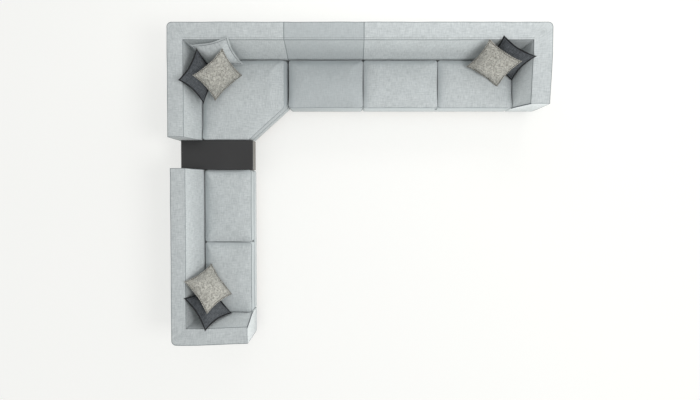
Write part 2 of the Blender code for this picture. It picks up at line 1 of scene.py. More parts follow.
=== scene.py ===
# A modular corner sofa dressed round its solids: sewn covers, stuffed seats and pillows, woven straps,
# turned feet and a lacquered console. Metres, +Z up. The rear run lies along X, the left run along Y.
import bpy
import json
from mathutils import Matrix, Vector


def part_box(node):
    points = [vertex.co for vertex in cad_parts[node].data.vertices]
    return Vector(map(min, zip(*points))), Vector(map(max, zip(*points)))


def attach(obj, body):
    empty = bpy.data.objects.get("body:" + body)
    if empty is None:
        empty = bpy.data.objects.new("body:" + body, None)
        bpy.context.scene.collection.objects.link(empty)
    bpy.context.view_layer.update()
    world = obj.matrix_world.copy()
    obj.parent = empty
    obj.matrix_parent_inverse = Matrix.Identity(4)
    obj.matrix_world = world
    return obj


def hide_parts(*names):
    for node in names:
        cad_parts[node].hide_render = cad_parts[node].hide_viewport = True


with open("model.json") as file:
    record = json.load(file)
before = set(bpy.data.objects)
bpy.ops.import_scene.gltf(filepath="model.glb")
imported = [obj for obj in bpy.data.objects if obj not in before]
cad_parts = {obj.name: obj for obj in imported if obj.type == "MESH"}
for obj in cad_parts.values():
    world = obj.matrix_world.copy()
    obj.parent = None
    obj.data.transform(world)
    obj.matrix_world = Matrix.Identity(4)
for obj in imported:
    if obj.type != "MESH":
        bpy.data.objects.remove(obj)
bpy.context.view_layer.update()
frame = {"nodes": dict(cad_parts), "record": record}

import json
from math import atan2, ceil, cos, hypot, pi, radians, sin, tan

import bmesh
import bpy
import numpy as np
from mathutils import Vector
from mathutils.bvhtree import BVHTree
from mathutils.kdtree import KDTree

bodies = frame["record"]["behaviour"]["bodies"]
nodeBody = {node: body for body, members in bodies.items() for node in members}


# Camera: straight above the open side, as the photograph was taken
camera = {"lens": 24.0, "sensor": 36.0, "place": (-0.113, -0.058, 6.087), "tiltDegrees": -1.227}
cameraData = bpy.data.cameras.new("overheadCamera")
cameraData.lens = camera["lens"]
cameraData.sensor_width = camera["sensor"]
cameraObject = bpy.data.objects.new("overheadCamera", cameraData)
cameraObject.location = camera["place"]
cameraObject.rotation_euler = (radians(camera["tiltDegrees"]), 0, 0)
bpy.context.scene.collection.objects.link(cameraObject)
bpy.context.scene.camera = cameraObject
bpy.context.scene.view_settings.view_transform = "Standard"
print("camera set")


# One shader node with its settings. An input is a value or another node's output, and one output
# comes back, by its place or its name.
def addNode(tree, kind, inputs=None, output=0, **settings):
    node = tree.nodes.new("ShaderNode" + kind)
    for name, value in settings.items():
        setattr(node, name, value)
    for socket, value in (inputs or {}).items():
        if isinstance(value, bpy.types.NodeSocket):
            tree.links.new(value, node.inputs[socket])
        else:
            node.inputs[socket].default_value = value
    return node.outputs[output] if node.outputs else None


# sRGB hex to linear colour
def toLinear(hexColour, alpha=1.0):
    channels = [int(hexColour[i:i + 2], 16) / 255 for i in (1, 3, 5)]
    linear = [c / 12.92 if c <= 0.04045 else ((c + 0.055) / 1.055) ** 2.4 for c in channels]
    return (*linear, alpha)


# A pale room: a high window on the right, a long soft box behind the rear run, and light thrown back by
# the floor. Each lamp has its place, its aim, its size in metres and its power in watts.
room = {
    "lamps": {"highWindow": ((6.4, -1.4, 10.2), (0.0, 0.4, 0.4), (4.0, 4.0), 400),
              "softBox": ((1.3, 4.3, 2.5), (0.7, 1.2, 0.5), (4.6, 1.3), 45),
              "floorBounce": ((0.9, -0.9, 0.012), (0.9, -0.9, 1.012), (3.0, 2.4), 76)},
    "skyColour": "#fafbfb", "skyStrength": 0.62, "paperSize": 80.0, "paperColour": "#f8f8f3",
    "shownColour": "#fbfbfa", "paperGlow": 0.5, "glowStrength": 1.18,
}


# How much of the plain pale background shows: a share for camera, glossy and transmission rays
def shownShare(tree, share):
    seen = addNode(tree, "LightPath", output="Is Camera Ray")
    for ray in ("Is Glossy Ray", "Is Transmission Ray"):
        seen = addNode(tree, "Math", {0: seen, 1: addNode(tree, "LightPath", output=ray)},
                       operation="MAXIMUM")
    return addNode(tree, "Math", {0: seen, 1: share}, operation="MULTIPLY")


# Clears the world to the pale room's light, hangs its lamps and lays its paper floor
def buildRoom():
    scene = bpy.context.scene
    scene.world = bpy.data.worlds.new("paleRoom")
    scene.world.use_nodes = True
    tree = scene.world.node_tree
    tree.nodes.clear()
    lit = addNode(tree, "Background", {0: toLinear(room["skyColour"]), 1: room["skyStrength"]})
    shown = addNode(tree, "Background", {0: toLinear(room["shownColour"]), 1: 1.0})
    mixed = addNode(tree, "MixShader", {0: shownShare(tree, 1.0), 1: lit, 2: shown})
    addNode(tree, "OutputWorld", {0: mixed})

    for name, (place, aim, size, power) in room["lamps"].items():
        lamp = bpy.data.lights.new(name, "AREA")
        lamp.shape = "RECTANGLE"
        lamp.size, lamp.size_y = size
        lamp.energy = power
        lampObject = bpy.data.objects.new(name, lamp)
        lampObject.location = place
        lampObject.rotation_mode = "QUATERNION"
        lampObject.rotation_quaternion = (Vector(aim) - Vector(place)).to_track_quat("-Z", "Y")
        lampObject.visible_camera = False
        scene.collection.objects.link(lampObject)

    half = room["paperSize"] / 2
    floor = bpy.data.meshes.new("floor")
    floor.from_pydata([(-half, -half, 0), (half, -half, 0), (half, half, 0), (-half, half, 0)], [],
                      [(0, 1, 2, 3)])
    floorObject = bpy.data.objects.new("floor", floor)
    scene.collection.objects.link(floorObject)
    paper = bpy.data.materials.new("seamlessPaper")    # matt white paper that keeps the soft shadow
    paper.use_nodes = True
    tree = paper.node_tree
    tree.nodes.clear()
    lit = addNode(tree, "BsdfDiffuse", {0: toLinear(room["paperColour"])})
    shown = addNode(tree, "Emission", {0: toLinear(room["shownColour"]), 1: room["glowStrength"]})
    mixed = addNode(tree, "MixShader", {0: shownShare(tree, room["paperGlow"]), 1: lit, 2: shown})
    addNode(tree, "OutputMaterial", {0: mixed})
    floor.materials.append(paper)


buildRoom()
print("room lit")


# A material with the values of its shader that are the same all over it
def startMaterial(name, values):
    material = bpy.data.materials.new(name)
    material.use_nodes = True
    for socket, value in values.items():
        material.node_tree.nodes["Principled BSDF"].inputs[socket].default_value = value
    return material, material.node_tree


# The material's colour, and a relief of small depth in metres over its surface
def finishMaterial(material, colour, height, strength, depth):
    tree = material.node_tree
    shader = tree.nodes["Principled BSDF"]
    tree.links.new(colour, shader.inputs["Base Color"])
    bump = addNode(tree, "Bump", {"Height": height, "Strength": strength, "Distance": depth})
    tree.links.new(bump, shader.inputs["Normal"])
    return material


# Mottling whose blotches have a real size in millimetres, stretched along some axes
def mottle(tree, place, sizeMm, detail=2.0, roughness=0.5, stretch=(1, 1, 1)):
    mapped = addNode(tree, "Mapping", {0: place, 3: tuple(1000 / (sizeMm * s) for s in stretch)})
    return addNode(tree, "TexNoise", {"Vector": mapped, "Scale": 1.0, "Detail": detail,
                                      "Roughness": roughness})


# From one colour to another while a pattern climbs from low to high
def tint(tree, pattern, low, high, first, second):
    share = addNode(tree, "MapRange", {0: pattern, 1: low, 2: high})
    return addNode(tree, "Mix", {0: share, 6: toLinear(first), 7: toLinear(second)}, 2,
                   data_type="RGBA")


# The colour under a point attribute, for seams or nap, goes over to another as its mark goes from 0 to 1
# Both marks also carry painted shade, on grooves, welts, flanges, panels and faces where shade falls
def marked(tree, colour, mark, other):
    share = addNode(tree, "Attribute", output="Fac", attribute_name=mark)
    return addNode(tree, "Mix", {0: share, 6: colour, 7: toLinear(other)}, 2, data_type="RGBA")


# Melange upholstery cloth, woven from spun yarns of two tones: soft, matt and slightly hairy, so it
# takes a weak sheen and no shine. The yarns lie 2 mm apart; here the weave is drawn 7 mm apart to show.
def wovenCloth(name, look):
    material, tree = startMaterial(name, {"Roughness": 0.92, "Sheen Roughness": 0.5,
                                          "Sheen Weight": look.get("sheen", 0.2)})
    place = addNode(tree, "TexCoord", output="Object")
    uv = addNode(tree, "UVMap", uv_map="weave")
    base = tint(tree, mottle(tree, place, look["cloudMm"], 3.0), 0.3, 0.7, look["shade"], look["light"])
    warp, weft = (mottle(tree, uv, look["slubMm"], 3.0, 0.65, stretch)
                  for stretch in ((0.35, 2.6, 1), (2.6, 0.35, 1)))
    yarn = addNode(tree, "Math", {0: warp, 1: weft}, operation="ADD")
    speckled = tint(tree, yarn, 0.72, 1.28, look["darkYarn"], look["paleYarn"])
    base = addNode(tree, "Mix", {0: look["yarnShare"], 6: base, 7: speckled}, 2, data_type="RGBA")
    # Painted shade on covers' inner faces, skirts and seat panels, over the single unit's darker nap
    base = marked(tree, base, "napAndShade", look.get("napAndShadeColour", look["shade"]))
    # Seam lines, with painted shade in seam grooves, on seat welts along the front and on dark pillows'
    # flanges
    base = marked(tree, base, "seamAndShade", look["seamAndShade"])
    mapped = addNode(tree, "Mapping", {0: uv, 3: (1000 / look["weaveMm"],) * 3})
    waves = {"Vector": mapped, "Scale": 0.31, "Distortion": 0.6, "Detail": 1.0}    # 0.31: a wave per unit
    across, down = (addNode(tree, "TexWave", waves, "Fac", bands_direction=way) for way in ("X", "Y"))
    height = addNode(tree, "Math", {0: across, 1: down, 2: yarn}, operation="MULTIPLY_ADD")
    return finishMaterial(material, base, height, look.get("bump", 0.35), 0.0012)


# Basket weave of thick uneven cream and dark grey yarns, bulky and matt: a product of two sines, with
# each crossing a little higher or lower. A yarn is about 9 mm wide; here it is drawn 11 mm wide to show.
def basketWeave(name, look):
    material, tree = startMaterial(name, {"Roughness": 0.95, "Sheen Weight": 0.15})
    uv = addNode(tree, "UVMap", uv_map="weave")
    drift = addNode(tree, "Math", {0: mottle(tree, uv, 60), 1: look["drift"]}, operation="MULTIPLY")
    waves, cells = [], []
    for axis in (0, 1):
        along = addNode(tree, "SeparateXYZ", {0: uv}, axis)
        angle = addNode(tree, "Math", {0: along, 1: 2 * pi * 1000 / look["pairMm"], 2: drift},
                        operation="MULTIPLY_ADD")
        waves.append(addNode(tree, "Math", {0: angle}, operation="SINE"))
        cell = addNode(tree, "Math", {0: angle, 1: pi}, operation="DIVIDE")
        cells.append(addNode(tree, "Math", {0: cell}, operation="FLOOR"))
    spot = addNode(tree, "CombineXYZ", {0: cells[0], 1: cells[1]})
    uneven = addNode(tree, "TexWhiteNoise", {"Vector": spot}, "Value")
    uneven = addNode(tree, "MapRange", {0: uneven, 3: -look["uneven"], 4: look["uneven"]})
    lattice = addNode(tree, "Math", {0: waves[0], 1: waves[1], 2: uneven}, operation="MULTIPLY_ADD")
    rough = addNode(tree, "Math", {0: mottle(tree, uv, 7, 2.0, 0.7), 1: look["fray"], 2: lattice},
                    operation="MULTIPLY_ADD")
    cream = tint(tree, mottle(tree, uv, 45), 0.35, 0.65, look["cream"], look["beige"])
    share = addNode(tree, "MapRange", {0: rough, 1: look["darkUnder"], 2: look["paleOver"]})
    base = addNode(tree, "Mix", {0: share, 6: toLinear(look["dark"]), 7: cream}, 2, data_type="RGBA")
    return finishMaterial(material, marked(tree, base, "seamAndShade", look["seamAndShade"]), rough, 0.5, 0.002)


# Wood, lacquer and metal: two colours by a mottled pattern, and a relief by the same one or its own. A
# pattern is its size in millimetres, its detail, its roughness and how far it is stretched.
def hardFinish(name, look):
    material, tree = startMaterial(name, {"Roughness": look["roughness"],
                                          "Metallic": look.get("metallic", 0.0)})
    place = addNode(tree, "TexCoord", output="Object")
    pattern = mottle(tree, place, *look["pattern"])
    relief = mottle(tree, place, *look["relief"]) if "relief" in look else pattern
    if "drift" in look:
        drift = mottle(tree, place, *look["drift"])
        pattern = addNode(tree, "Math", {0: pattern, 1: drift}, operation="ADD")
    base = tint(tree, pattern, *look["range"], *look["colours"])
    return finishMaterial(material, base, relief, *look["bump"])


# The sofa's own cloth, pale blue-grey melange: it reads even from afar, with a soft fleck close by
# Its nap colour is that of painted shade and of the single unit's darker nap; its seam colour carries
# painted shade too
cloth = wovenCloth("wovenMelangeCloth", {
    "light": "#ced4d5", "shade": "#c3c9ca", "darkYarn": "#a0a7a8", "paleYarn": "#e6eaea",
    "yarnShare": 0.50, "seamAndShade": "#676f73", "napAndShadeColour": "#aeb5b7", "cloudMm": 150, "slubMm": 30,
    "weaveMm": 7})
# Twisted polyester cord over its seams, a greyer tone, so that each seam reads as a thin line
seamThread = wovenCloth("twistedSeamThread", {
    "light": "#8a9295", "shade": "#7c8487", "darkYarn": "#6d7578", "paleYarn": "#989fa2",
    "yarnShare": 0.3, "seamAndShade": "#7b8386", "cloudMm": 150, "slubMm": 12, "weaveMm": 5})
# Nubbly wool-mix cloth in slate: nearly black and very matt, with paler flecks
slateCloth = wovenCloth("wovenSlateCloth", {
    "light": "#3b3f43", "shade": "#303438", "darkYarn": "#15181b", "paleYarn": "#74797e",
    "yarnShare": 0.66, "seamAndShade": "#15171a", "cloudMm": 60, "slubMm": 30, "weaveMm": 7, "bump": 0.5,
    "sheen": 0.1})
# The dark pillows' seam cord, a little paler than their cloth, so that their outline shows
# It also makes the thick cords on the arms' open ends, a painted shadow of the gap beside the seats
slateThread = wovenCloth("slateSeamThread", {
    "light": "#5f656b", "shade": "#52585d", "darkYarn": "#3f4449", "paleYarn": "#757b81",
    "yarnShare": 0.3, "seamAndShade": "#2c2f33", "cloudMm": 70, "slubMm": 12, "weaveMm": 5})
basket = basketWeave("basketWeaveCloth", {
    "pairMm": 22, "cream": "#dcdad1", "beige": "#c4c2b8", "dark": "#4d4d4a", "seamAndShade": "#6c6b66",
    "darkUnder": -0.35, "paleOver": 0.90, "fray": 0.9, "drift": 2.5, "uneven": 0.42})
# Dark wool yarn of the blanket stitches: soft, thick and matt
darkYarn = wovenCloth("darkWoolYarn", {
    "light": "#5a5852", "shade": "#4c4b46", "darkYarn": "#3c3b37", "paleYarn": "#6d6b64",
    "yarnShare": 0.3, "seamAndShade": "#3c3b37", "cloudMm": 70, "slubMm": 12, "weaveMm": 5})
# Elastic webbing of rubber and polyester: dark, ribbed and matt
strapCloth = wovenCloth("elasticStrapWebbing", {
    "light": "#46474a", "shade": "#3b3c3f", "darkYarn": "#2b2c2e", "paleYarn": "#6a6c70",
    "yarnShare": 0.45, "seamAndShade": "#2b2c2e", "cloudMm": 120, "slubMm": 14, "weaveMm": 4, "bump": 0.5})
# Spun-bonded dust cloth on the undersides: near black, so that they sink into shadow
dustCloth = wovenCloth("spunDustCloth", {
    "light": "#2a2b2d", "shade": "#242527", "darkYarn": "#1c1d1f", "paleYarn": "#36373a",
    "yarnShare": 0.3, "seamAndShade": "#1c1d1f", "cloudMm": 120, "slubMm": 10, "weaveMm": 4})
# Sawn softwood, planed but unfinished: pale, dry and matt, with lines of darker late wood. They lie about
# 3 mm apart; here they are drawn 9 mm apart to show.
pine = hardFinish("sawnPine", {
    "colours": ("#d9c19a", "#b48d5d"), "range": (0.8, 1.25), "roughness": 0.72,
    "pattern": (26, 4.0, 0.6, (9, 9, 0.35)), "drift": (220,), "bump": (0.2, 0.0006)})
# Sprayed satin lacquer on board: almost black and smooth, with faint orange peel 5 mm across
lacquer = hardFinish("satinLacquer", {
    "colours": ("#202021", "#272728"), "range": (0.3, 0.7), "roughness": 0.42, "pattern": (420,),
    "relief": (5, 1.0), "bump": (0.06, 0.0004)})
# Grey-stained oak veneer under matt varnish: warm grey with fine straight grain. Its lines are under 1 mm
# wide; here they are drawn 4.5 mm wide to show.
oak = hardFinish("stainedOakVeneer", {
    "colours": ("#67645f", "#827f79"), "range": (0.32, 0.68), "roughness": 0.5,
    "pattern": (9, 4.0, 0.65, (26, 26, 0.5)), "bump": (0.12, 0.0003)})
# Powder-coated steel: near black and even, with its coating's fine texture
blackSteel = hardFinish("powderCoatedSteel", {
    "colours": ("#1d1d1f", "#2a2a2c"), "range": (0.3, 0.7), "roughness": 0.45, "pattern": (1.2,),
    "bump": (0.3, 0.0003)})
# Zinc-plated steel: pale, bright and slightly clouded metal
zincSteel = hardFinish("zincPlatedSteel", {
    "colours": ("#a9abad", "#c9cbcd"), "range": (0.3, 0.7), "roughness": 0.35, "metallic": 1.0,
    "pattern": (3.0,), "bump": (0.1, 0.0003)})
print("materials made")


# Every CAD node takes a real finish, also those that new pieces replace
slotMaterial = {
    "upholstery": cloth, "dark_fabric": slateCloth, "patterned_fabric": basket, "timber": pine,
    "webbing": strapCloth, "lacquer": lacquer, "oak_grey": oak, "black_metal": blackSteel,
    "steel": zincSteel,
}
nodeSlot = {part["node"]: part["material_slot"] for part in frame["record"]["subparts"]}
for node, nodeObject in frame["nodes"].items():
    for slotPlace in nodeObject.material_slots:
        slotPlace.material = slotMaterial[nodeSlot[node]]
    if not nodeObject.material_slots:
        nodeObject.data.materials.append(slotMaterial[nodeSlot[node]])


# Corners of the quads of a grid of points, rows x columns
def gridQuads(rows, columns, wrapRows=False, wrapColumns=False, first=0):
    i, j = np.meshgrid(np.arange(rows if wrapRows else rows - 1),
                       np.arange(columns if wrapColumns else columns - 1), indexing="ij")
    nextRow, nextColumn = (i + 1) % rows, (j + 1) % columns
    corners = (i * columns + j, i * columns + nextColumn, nextRow * columns + nextColumn,
               nextRow * columns + j)
    return (first + np.stack(corners, -1).reshape(-1, 4)).tolist()


# Faces of a skin over rings of points: closed along its path, or with a face over each end
def skinFaces(shape, closed=False, first=0):
    rows, columns = shape[:2]
    faces = gridQuads(rows, columns, wrapRows=closed, wrapColumns=True, first=first)
    if not closed:
        last = first + (rows - 1) * columns
        faces += [list(range(first, first + columns)), list(range(last, last + columns))]
    return faces


# Points and faces of several skins put together, each given as its rings and whether it is closed
def joinSkins(skins):
    points, faces, first = [], [], 0
    for rings, closed in skins:
        faces += skinFaces(rings.shape, closed, first)
        points.append(rings.reshape(-1, 3))
        first += len(points[-1])
    return np.concatenate(points), faces


# One value, such as its place, of each of a mesh's points, faces or corners, in rows where it has width
def readAll(items, label, kind, width=1):
    values = np.empty(len(items) * width, kind)
    items.foreach_get(label, values)
    return values.reshape(-1, width) if width > 1 else values


def pointsOf(mesh):
    return readAll(mesh.vertices, "co", np.float32, 3).astype(float)


# A new object at the origin: its points joined where they meet, its faces turned outwards, its UV map
# and its marks for seams and nap, which carry painted shade too, given for each point
def newPiece(name, points, faces, materials, uv=None, seamAndShade=0.0, faceMaterial=None, weld=1e-5,
             napAndShade=0.0):
    mesh = bpy.data.meshes.new(name)
    mesh.from_pydata(np.asarray(points, float).reshape(-1, 3).tolist(), [], faces)
    for material in materials:
        mesh.materials.append(material)
    if faceMaterial is not None:
        mesh.polygons.foreach_set("material_index", np.asarray(faceMaterial, np.int32))
    if uv is not None:
        loopPoint = readAll(mesh.loops, "vertex_index", np.int32)
        layer = mesh.uv_layers.new(name="weave")
        layer.data.foreach_set("uv", np.asarray(uv, np.float32).reshape(-1, 2)[loopPoint].ravel())
    for label, value in {"seamAndShade": seamAndShade, "napAndShade": napAndShade}.items():
        value = np.broadcast_to(np.asarray(value, np.float32).ravel(), len(mesh.vertices))
        mesh.attributes.new(label, "FLOAT", "POINT").data.foreach_set("value", value.copy())
    bm = bmesh.new()
    bm.from_mesh(mesh)
    bmesh.ops.remove_doubles(bm, verts=bm.verts, dist=weld)
    bmesh.ops.dissolve_degenerate(bm, edges=bm.edges, dist=weld / 10)
    bmesh.ops.recalc_face_normals(bm, faces=bm.faces)
    if bm.calc_volume(signed=True) < 0:
        bmesh.ops.reverse_faces(bm, faces=bm.faces)
    bm.to_mesh(mesh)
    bm.free()
    mesh.shade_smooth()
    mesh.update()
    if uv is None:
        boxUv(mesh)
    piece = bpy.data.objects.new(name, mesh)
    bpy.context.scene.collection.objects.link(piece)
    return piece


# UV in metres: each face is laid flat along the axis that it looks along most
def boxUv(mesh):
    points = readAll(mesh.vertices, "co", np.float32, 3)
    points = points[readAll(mesh.loops, "vertex_index", np.int32)]
    normals = readAll(mesh.polygons, "normal", np.float32, 3)
    sides = readAll(mesh.polygons, "loop_total", np.int32)
    axis = np.repeat(np.abs(normals).argmax(1), sides)
    first = np.where(axis == 0, 1, 0)
    second = np.where(axis == 2, 1, 2)
    rows = np.arange(len(points))
    layer = mesh.uv_layers.get("weave") or mesh.uv_layers.new(name="weave")
    layer.data.foreach_set("uv", np.stack([points[rows, first], points[rows, second]], -1).ravel())


# A round cord along a path of points: circles square to the path, from two directions across it
def cordRings(path, radius, sides, closed, upward=(0, 0, 1)):
    path = np.asarray(path, float)
    ahead = np.roll(path, -1, 0) - np.roll(path, 1, 0)
    if not closed:
        ahead[0], ahead[-1] = path[1] - path[0], path[-1] - path[-2]
    ahead /= np.linalg.norm(ahead, axis=1)[:, None]
    side = np.cross(ahead, np.asarray(upward, float))
    side /= np.maximum(np.linalg.norm(side, axis=1), 1e-9)[:, None]
    over = np.cross(side, ahead)
    angle = np.linspace(0, 2 * pi, sides, endpoint=False)
    radius = np.broadcast_to(radius, len(path))[:, None, None]
    return path[:, None] + radius * (side[:, None] * np.cos(angle)[None, :, None]
                                     + over[:, None] * np.sin(angle)[None, :, None])


# Distance travelled at each point of a path
def travelled(path):
    return np.concatenate([[0], np.cumsum(np.linalg.norm(np.diff(path, axis=0), axis=1))])


# Puts a piece on the same body as its node, and hides the node
def dress(piece, node):
    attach(piece, nodeBody[node])
    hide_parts(node)


# Padded covers. Their section runs from the outer bottom edge over the top band and down the inner face.
coverStyle = {
    "bottom": 0.1099, "topRoll": 0.022, "seamRoll": 0.010, "endRoll": 0.007, "outerCorner": 0.055,
    "outerSwell": 0.002, "bandCrown": 0.0035, "footHeight": 0.40, "cornerEase": 0.03, "step": 0.016,
    "feltWidth": 0.021, "feltHalf": 0.006, "feltDepth": 0.0016, "seamDepth": 0.0030,
    "waveDepth": 0.0022, "puckerDepth": 0.0010, "puckerLength": 0.036, "puckerWidth": 0.030,
    "puckerDrift": 2.5, "puckerTurns": 7.3, "calmEnds": 0.08, "calmFoot": 0.05,
    "weltRadius": 0.0028, "openWeltRadius": 0.0065, "weltSides": 6, "weltStart": 0.004,
    "underside": 0.002, "capInsets": (0.062, 0.048, 0.034, 0.022, 0.010), "capRollRings": 7,
    "fanRings": 11, "easeRings": 8, "outerSteps": 16, "rollSteps": 7, "bandSteps": 11,
    "faceSteps": 20, "footSteps": 8, "underSteps": 6,
}
capRings = len(coverStyle["capInsets"])    # the flat ones, before those of the rolled edge
weltProud = 0.3    # how far a welt's middle stands off the cloth, as a share of its radius


# Section of one wall as four rows: offset inwards from the outer face, height, seam mark and painted
# shade.
# The outer face and the band's crown bulge by half a sine, the top edge is a quarter circle, a felled
# seam dips the band, then come the rolled edge with its stitched groove, the inner face, swollen by
# half a sine, and the straight foot and underside. An inset shrinks it for the rings of an end.
def coverSection(wall, crest, inset=0.0):
    s = coverStyle
    band, foot = wall["band"], wall["foot"]
    grooved = max(0.0, 1 - inset / s["endRoll"])
    felt = wall["felt"] * grooved
    bottom = s["bottom"] + inset
    top = crest - inset
    parts = []

    def add(offset, height, mark=0.0, paintedShade=0.0):
        values = (np.atleast_1d(np.asarray(v, float)) for v in (offset, height, mark, paintedShade))
        parts.append(np.stack(np.broadcast_arrays(*values), -1))

    share = np.linspace(0, 1, s["outerSteps"])
    add(inset - s["outerSwell"] * np.sin(pi * share), bottom + (top - s["topRoll"] - bottom) * share)
    angle = np.linspace(0, pi / 2, s["rollSteps"])[1:]
    add(inset + s["topRoll"] * (1 - np.cos(angle)), top - s["topRoll"] * (1 - np.sin(angle)))
    edge = band - inset
    fell = edge - s["feltWidth"]
    share = np.linspace(0, 1, s["bandSteps"])[1:-1]
    low = inset + s["topRoll"]
    add(low + (fell - s["feltHalf"] - low) * share, top + s["bandCrown"] * np.sin(pi * share))
    # The seam mark darkens the felled seam's dip and the stitched groove: their line, and painted shade in
    # them
    across = np.array([-1, -0.5, -0.25, 0, 0.25, 0.5, 1]) * s["feltHalf"]
    dip = np.array([0, 0, 0.6, 1, 0.6, 0, 0]) * felt
    add(fell + across, top - s["feltDepth"] * dip, dip * 0.6)
    roll = s["seamRoll"]
    # Painted shade darkens the inner face under the seam's groove and fades out towards the foot
    paintedShade = wall["paintedShade"]
    turn = np.array([-0.9, -0.35, -0.05, 0, 0.03, 0.1, 0.35]) * roll
    groove = np.array([0, 0, 0, 0.001, s["seamDepth"], 0.001, 0]) * grooved
    fall = np.array([0, 0.12, 0.42, 0.72, 0.85, 1.1, 1.55]) * roll
    add(edge + turn - groove, top - fall, np.array([0, 0, 0.5, 1, 1, 1, 0]) * grooved,
        np.array([0, 0, 0, 0.3, 0.6, 0.8, 1]) * paintedShade)
    innerFoot = foot - inset
    slopeTop = top - s["seamRoll"]
    share = np.linspace(0, 1, s["faceSteps"])[2:]
    add(edge + (innerFoot - edge) * share + wall["swell"] * np.sin(pi * share),
        slopeTop + (s["footHeight"] - slopeTop) * share, 0.0, paintedShade * (1 - share))
    share = np.linspace(0, 1, s["footSteps"])[1:]
    add(innerFoot, s["footHeight"] + (bottom - s["footHeight"]) * share)
    share = np.linspace(0, 1, s["underSteps"])[1:-1]
    add(innerFoot + (inset - innerFoot) * share, bottom)
    return np.concatenate(parts).T


# Slow waves over a surface, at most 1 high: three crossing sine waves
def slowWaves(points, phase):
    x, y, z = points[..., 0], points[..., 1], points[..., 2]
    return (np.sin(9.1 * x + 5.3 * y + 7.7 * z + phase)
            + np.sin(-6.7 * x + 11.9 * y - 8.3 * z + 2.1 * phase)
            + np.sin(17.3 * x - 13.1 * y + 12.7 * z + 0.7 * phase)) / 3


# Rings of a wall's section: a point is the start, plus a distance along, an offset across and a height
class CoverRings:
    def __init__(self, start, along, across):
        self.start, self.along, self.across = start, along, across

    # One ring of the section at a distance along the wall
    def at(self, distance, section):
        offset, height = section[:2]
        up = np.array([0, 0, 1.0])
        return (self.start + self.along * distance + self.across * offset[:, None] + up * height[:, None])

    def row(self, distance, section):
        return self.at(distance, section), section[2], section[3]


# Rings that close an end: the section shrinks step by step on a flat cap, and a quarter circle rolls
# the edge round it
def endRings(rings, distance, outward, wall, crest):
    roll = coverStyle["endRoll"]
    made = [rings.row(distance, coverSection(wall, crest, inset)) for inset in coverStyle["capInsets"]]
    for angle in np.linspace(0, pi / 2, coverStyle["capRollRings"]):
        section = coverSection(wall, crest, roll * (1 - sin(angle)))
        made.append(rings.row(distance - outward * roll * (1 - cos(angle)), section))
    return made


# Even places from one to another, at most a step apart
def between(first, last, step):
    return np.linspace(first, last, max(2, ceil(abs(last - first) / step) + 1))


# Skins the rings of a cover. Its cloth stands off by slow waves, and by puckers across the band's seam:
# a sine along it that a bell curve fades out beside it. Then welts are sewn along its edges.
def sewCover(name, rows, section, phase, node, openEnds, napAndShade):
    s = coverStyle
    grid, seamAndShade, paintedShading = (np.array(part) for part in zip(*rows))
    offset, height, marks, _ = section
    around = travelled(np.stack([offset, height], -1))
    travel = travelled(grid[:, len(offset) // 2])
    uv = np.stack(np.broadcast_arrays(travel[:, None], around[None, :]), -1)
    # On the flat caps the weave runs level and upright
    for cap, edgeRow in ((slice(0, capRings + 1), capRings), (slice(-capRings - 1, None), -capRings - 1)):
        level = np.linalg.norm(grid[cap, :, :2] - grid[edgeRow, 0, :2], axis=-1)
        uv[cap] = np.stack([level, grid[cap, :, 2]], -1)
    normal = np.cross(np.gradient(grid, axis=0), np.gradient(grid, axis=1))
    normal /= np.maximum(np.linalg.norm(normal, axis=-1), 1e-9)[..., None]
    normal *= np.sign((normal * (grid - grid.mean(1, keepdims=True))).sum(-1).mean())
    innerEdge = int(np.argmax(marks))
    nearSeam = np.exp(-((around - around[innerEdge]) / s["puckerWidth"]) ** 2)
    drift = s["puckerDrift"] * np.sin(travel * s["puckerTurns"] + phase)
    pucker = np.sin(2 * pi * travel / s["puckerLength"] + drift)
    lift = s["puckerDepth"] * pucker[:, None] * nearSeam[None, :]
    lift = lift + s["waveDepth"] * slowWaves(grid, phase)
    calm = np.clip((grid[..., 2] - s["bottom"]) / s["calmFoot"], 0, 1)
    lastCap = capRings + s["capRollRings"] - 1
    fromEnds = np.minimum(travel - travel[lastCap], travel[-1 - lastCap] - travel)
    ends = np.clip(fromEnds / s["calmEnds"], 0, 1)[:, None]
    grid = grid + normal * (lift * calm * ends)[..., None]
    low = grid[:-1, :, 2]
    under = ((low + np.roll(low, -1, 1)) / 2 < s["bottom"] + s["underside"]).ravel()
    piece = newPiece(name, grid, skinFaces(grid.shape), [cloth, dustCloth], uv, seamAndShade,
                     np.concatenate([under.astype(int), [0, 0]]), napAndShade=np.maximum(paintedShading, napAndShade))
    dress(piece, node)

    # Welts: along the band's outer edge and round both ends, the inner leg of an open end thick and dark
    outerEdge = s["outerSteps"] + s["rollSteps"] // 2    # halfway round the top roll
    endRow = capRings + s["capRollRings"] // 2           # halfway round the rolled end edge
    walled = np.nonzero(height > s["bottom"] + s["weltStart"])[0]
    cords = [(slice(endRow, -endRow), outerEdge, False)]
    for row, isOpen in ((endRow, openEnds[0]), (-endRow - 1, openEnds[1])):
        if isOpen:
            # The open end's inner leg is a thick dark cord: a painted shadow of the gap between arm and
            # seat
            cords.append((row, walled[walled >= innerEdge], True))
        cords.append((row, walled[walled <= innerEdge] if isOpen else walled, False))
    skins, thread = [], []
    for row, column, shadowCord in cords:
        radius = s["openWeltRadius"] if shadowCord else s["weltRadius"]
        path = grid[row, column] + normal[row, column] * radius * weltProud
        skins.append((cordRings(path, radius, s["weltSides"], False), False))
        thread += [int(shadowCord)] * ((len(path) - 1) * s["weltSides"] + 2)
    welts = newPiece(name + "Welts", *joinSkins(skins), [seamThread, slateThread], faceMaterial=thread)
    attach(welts, nodeBody[node])


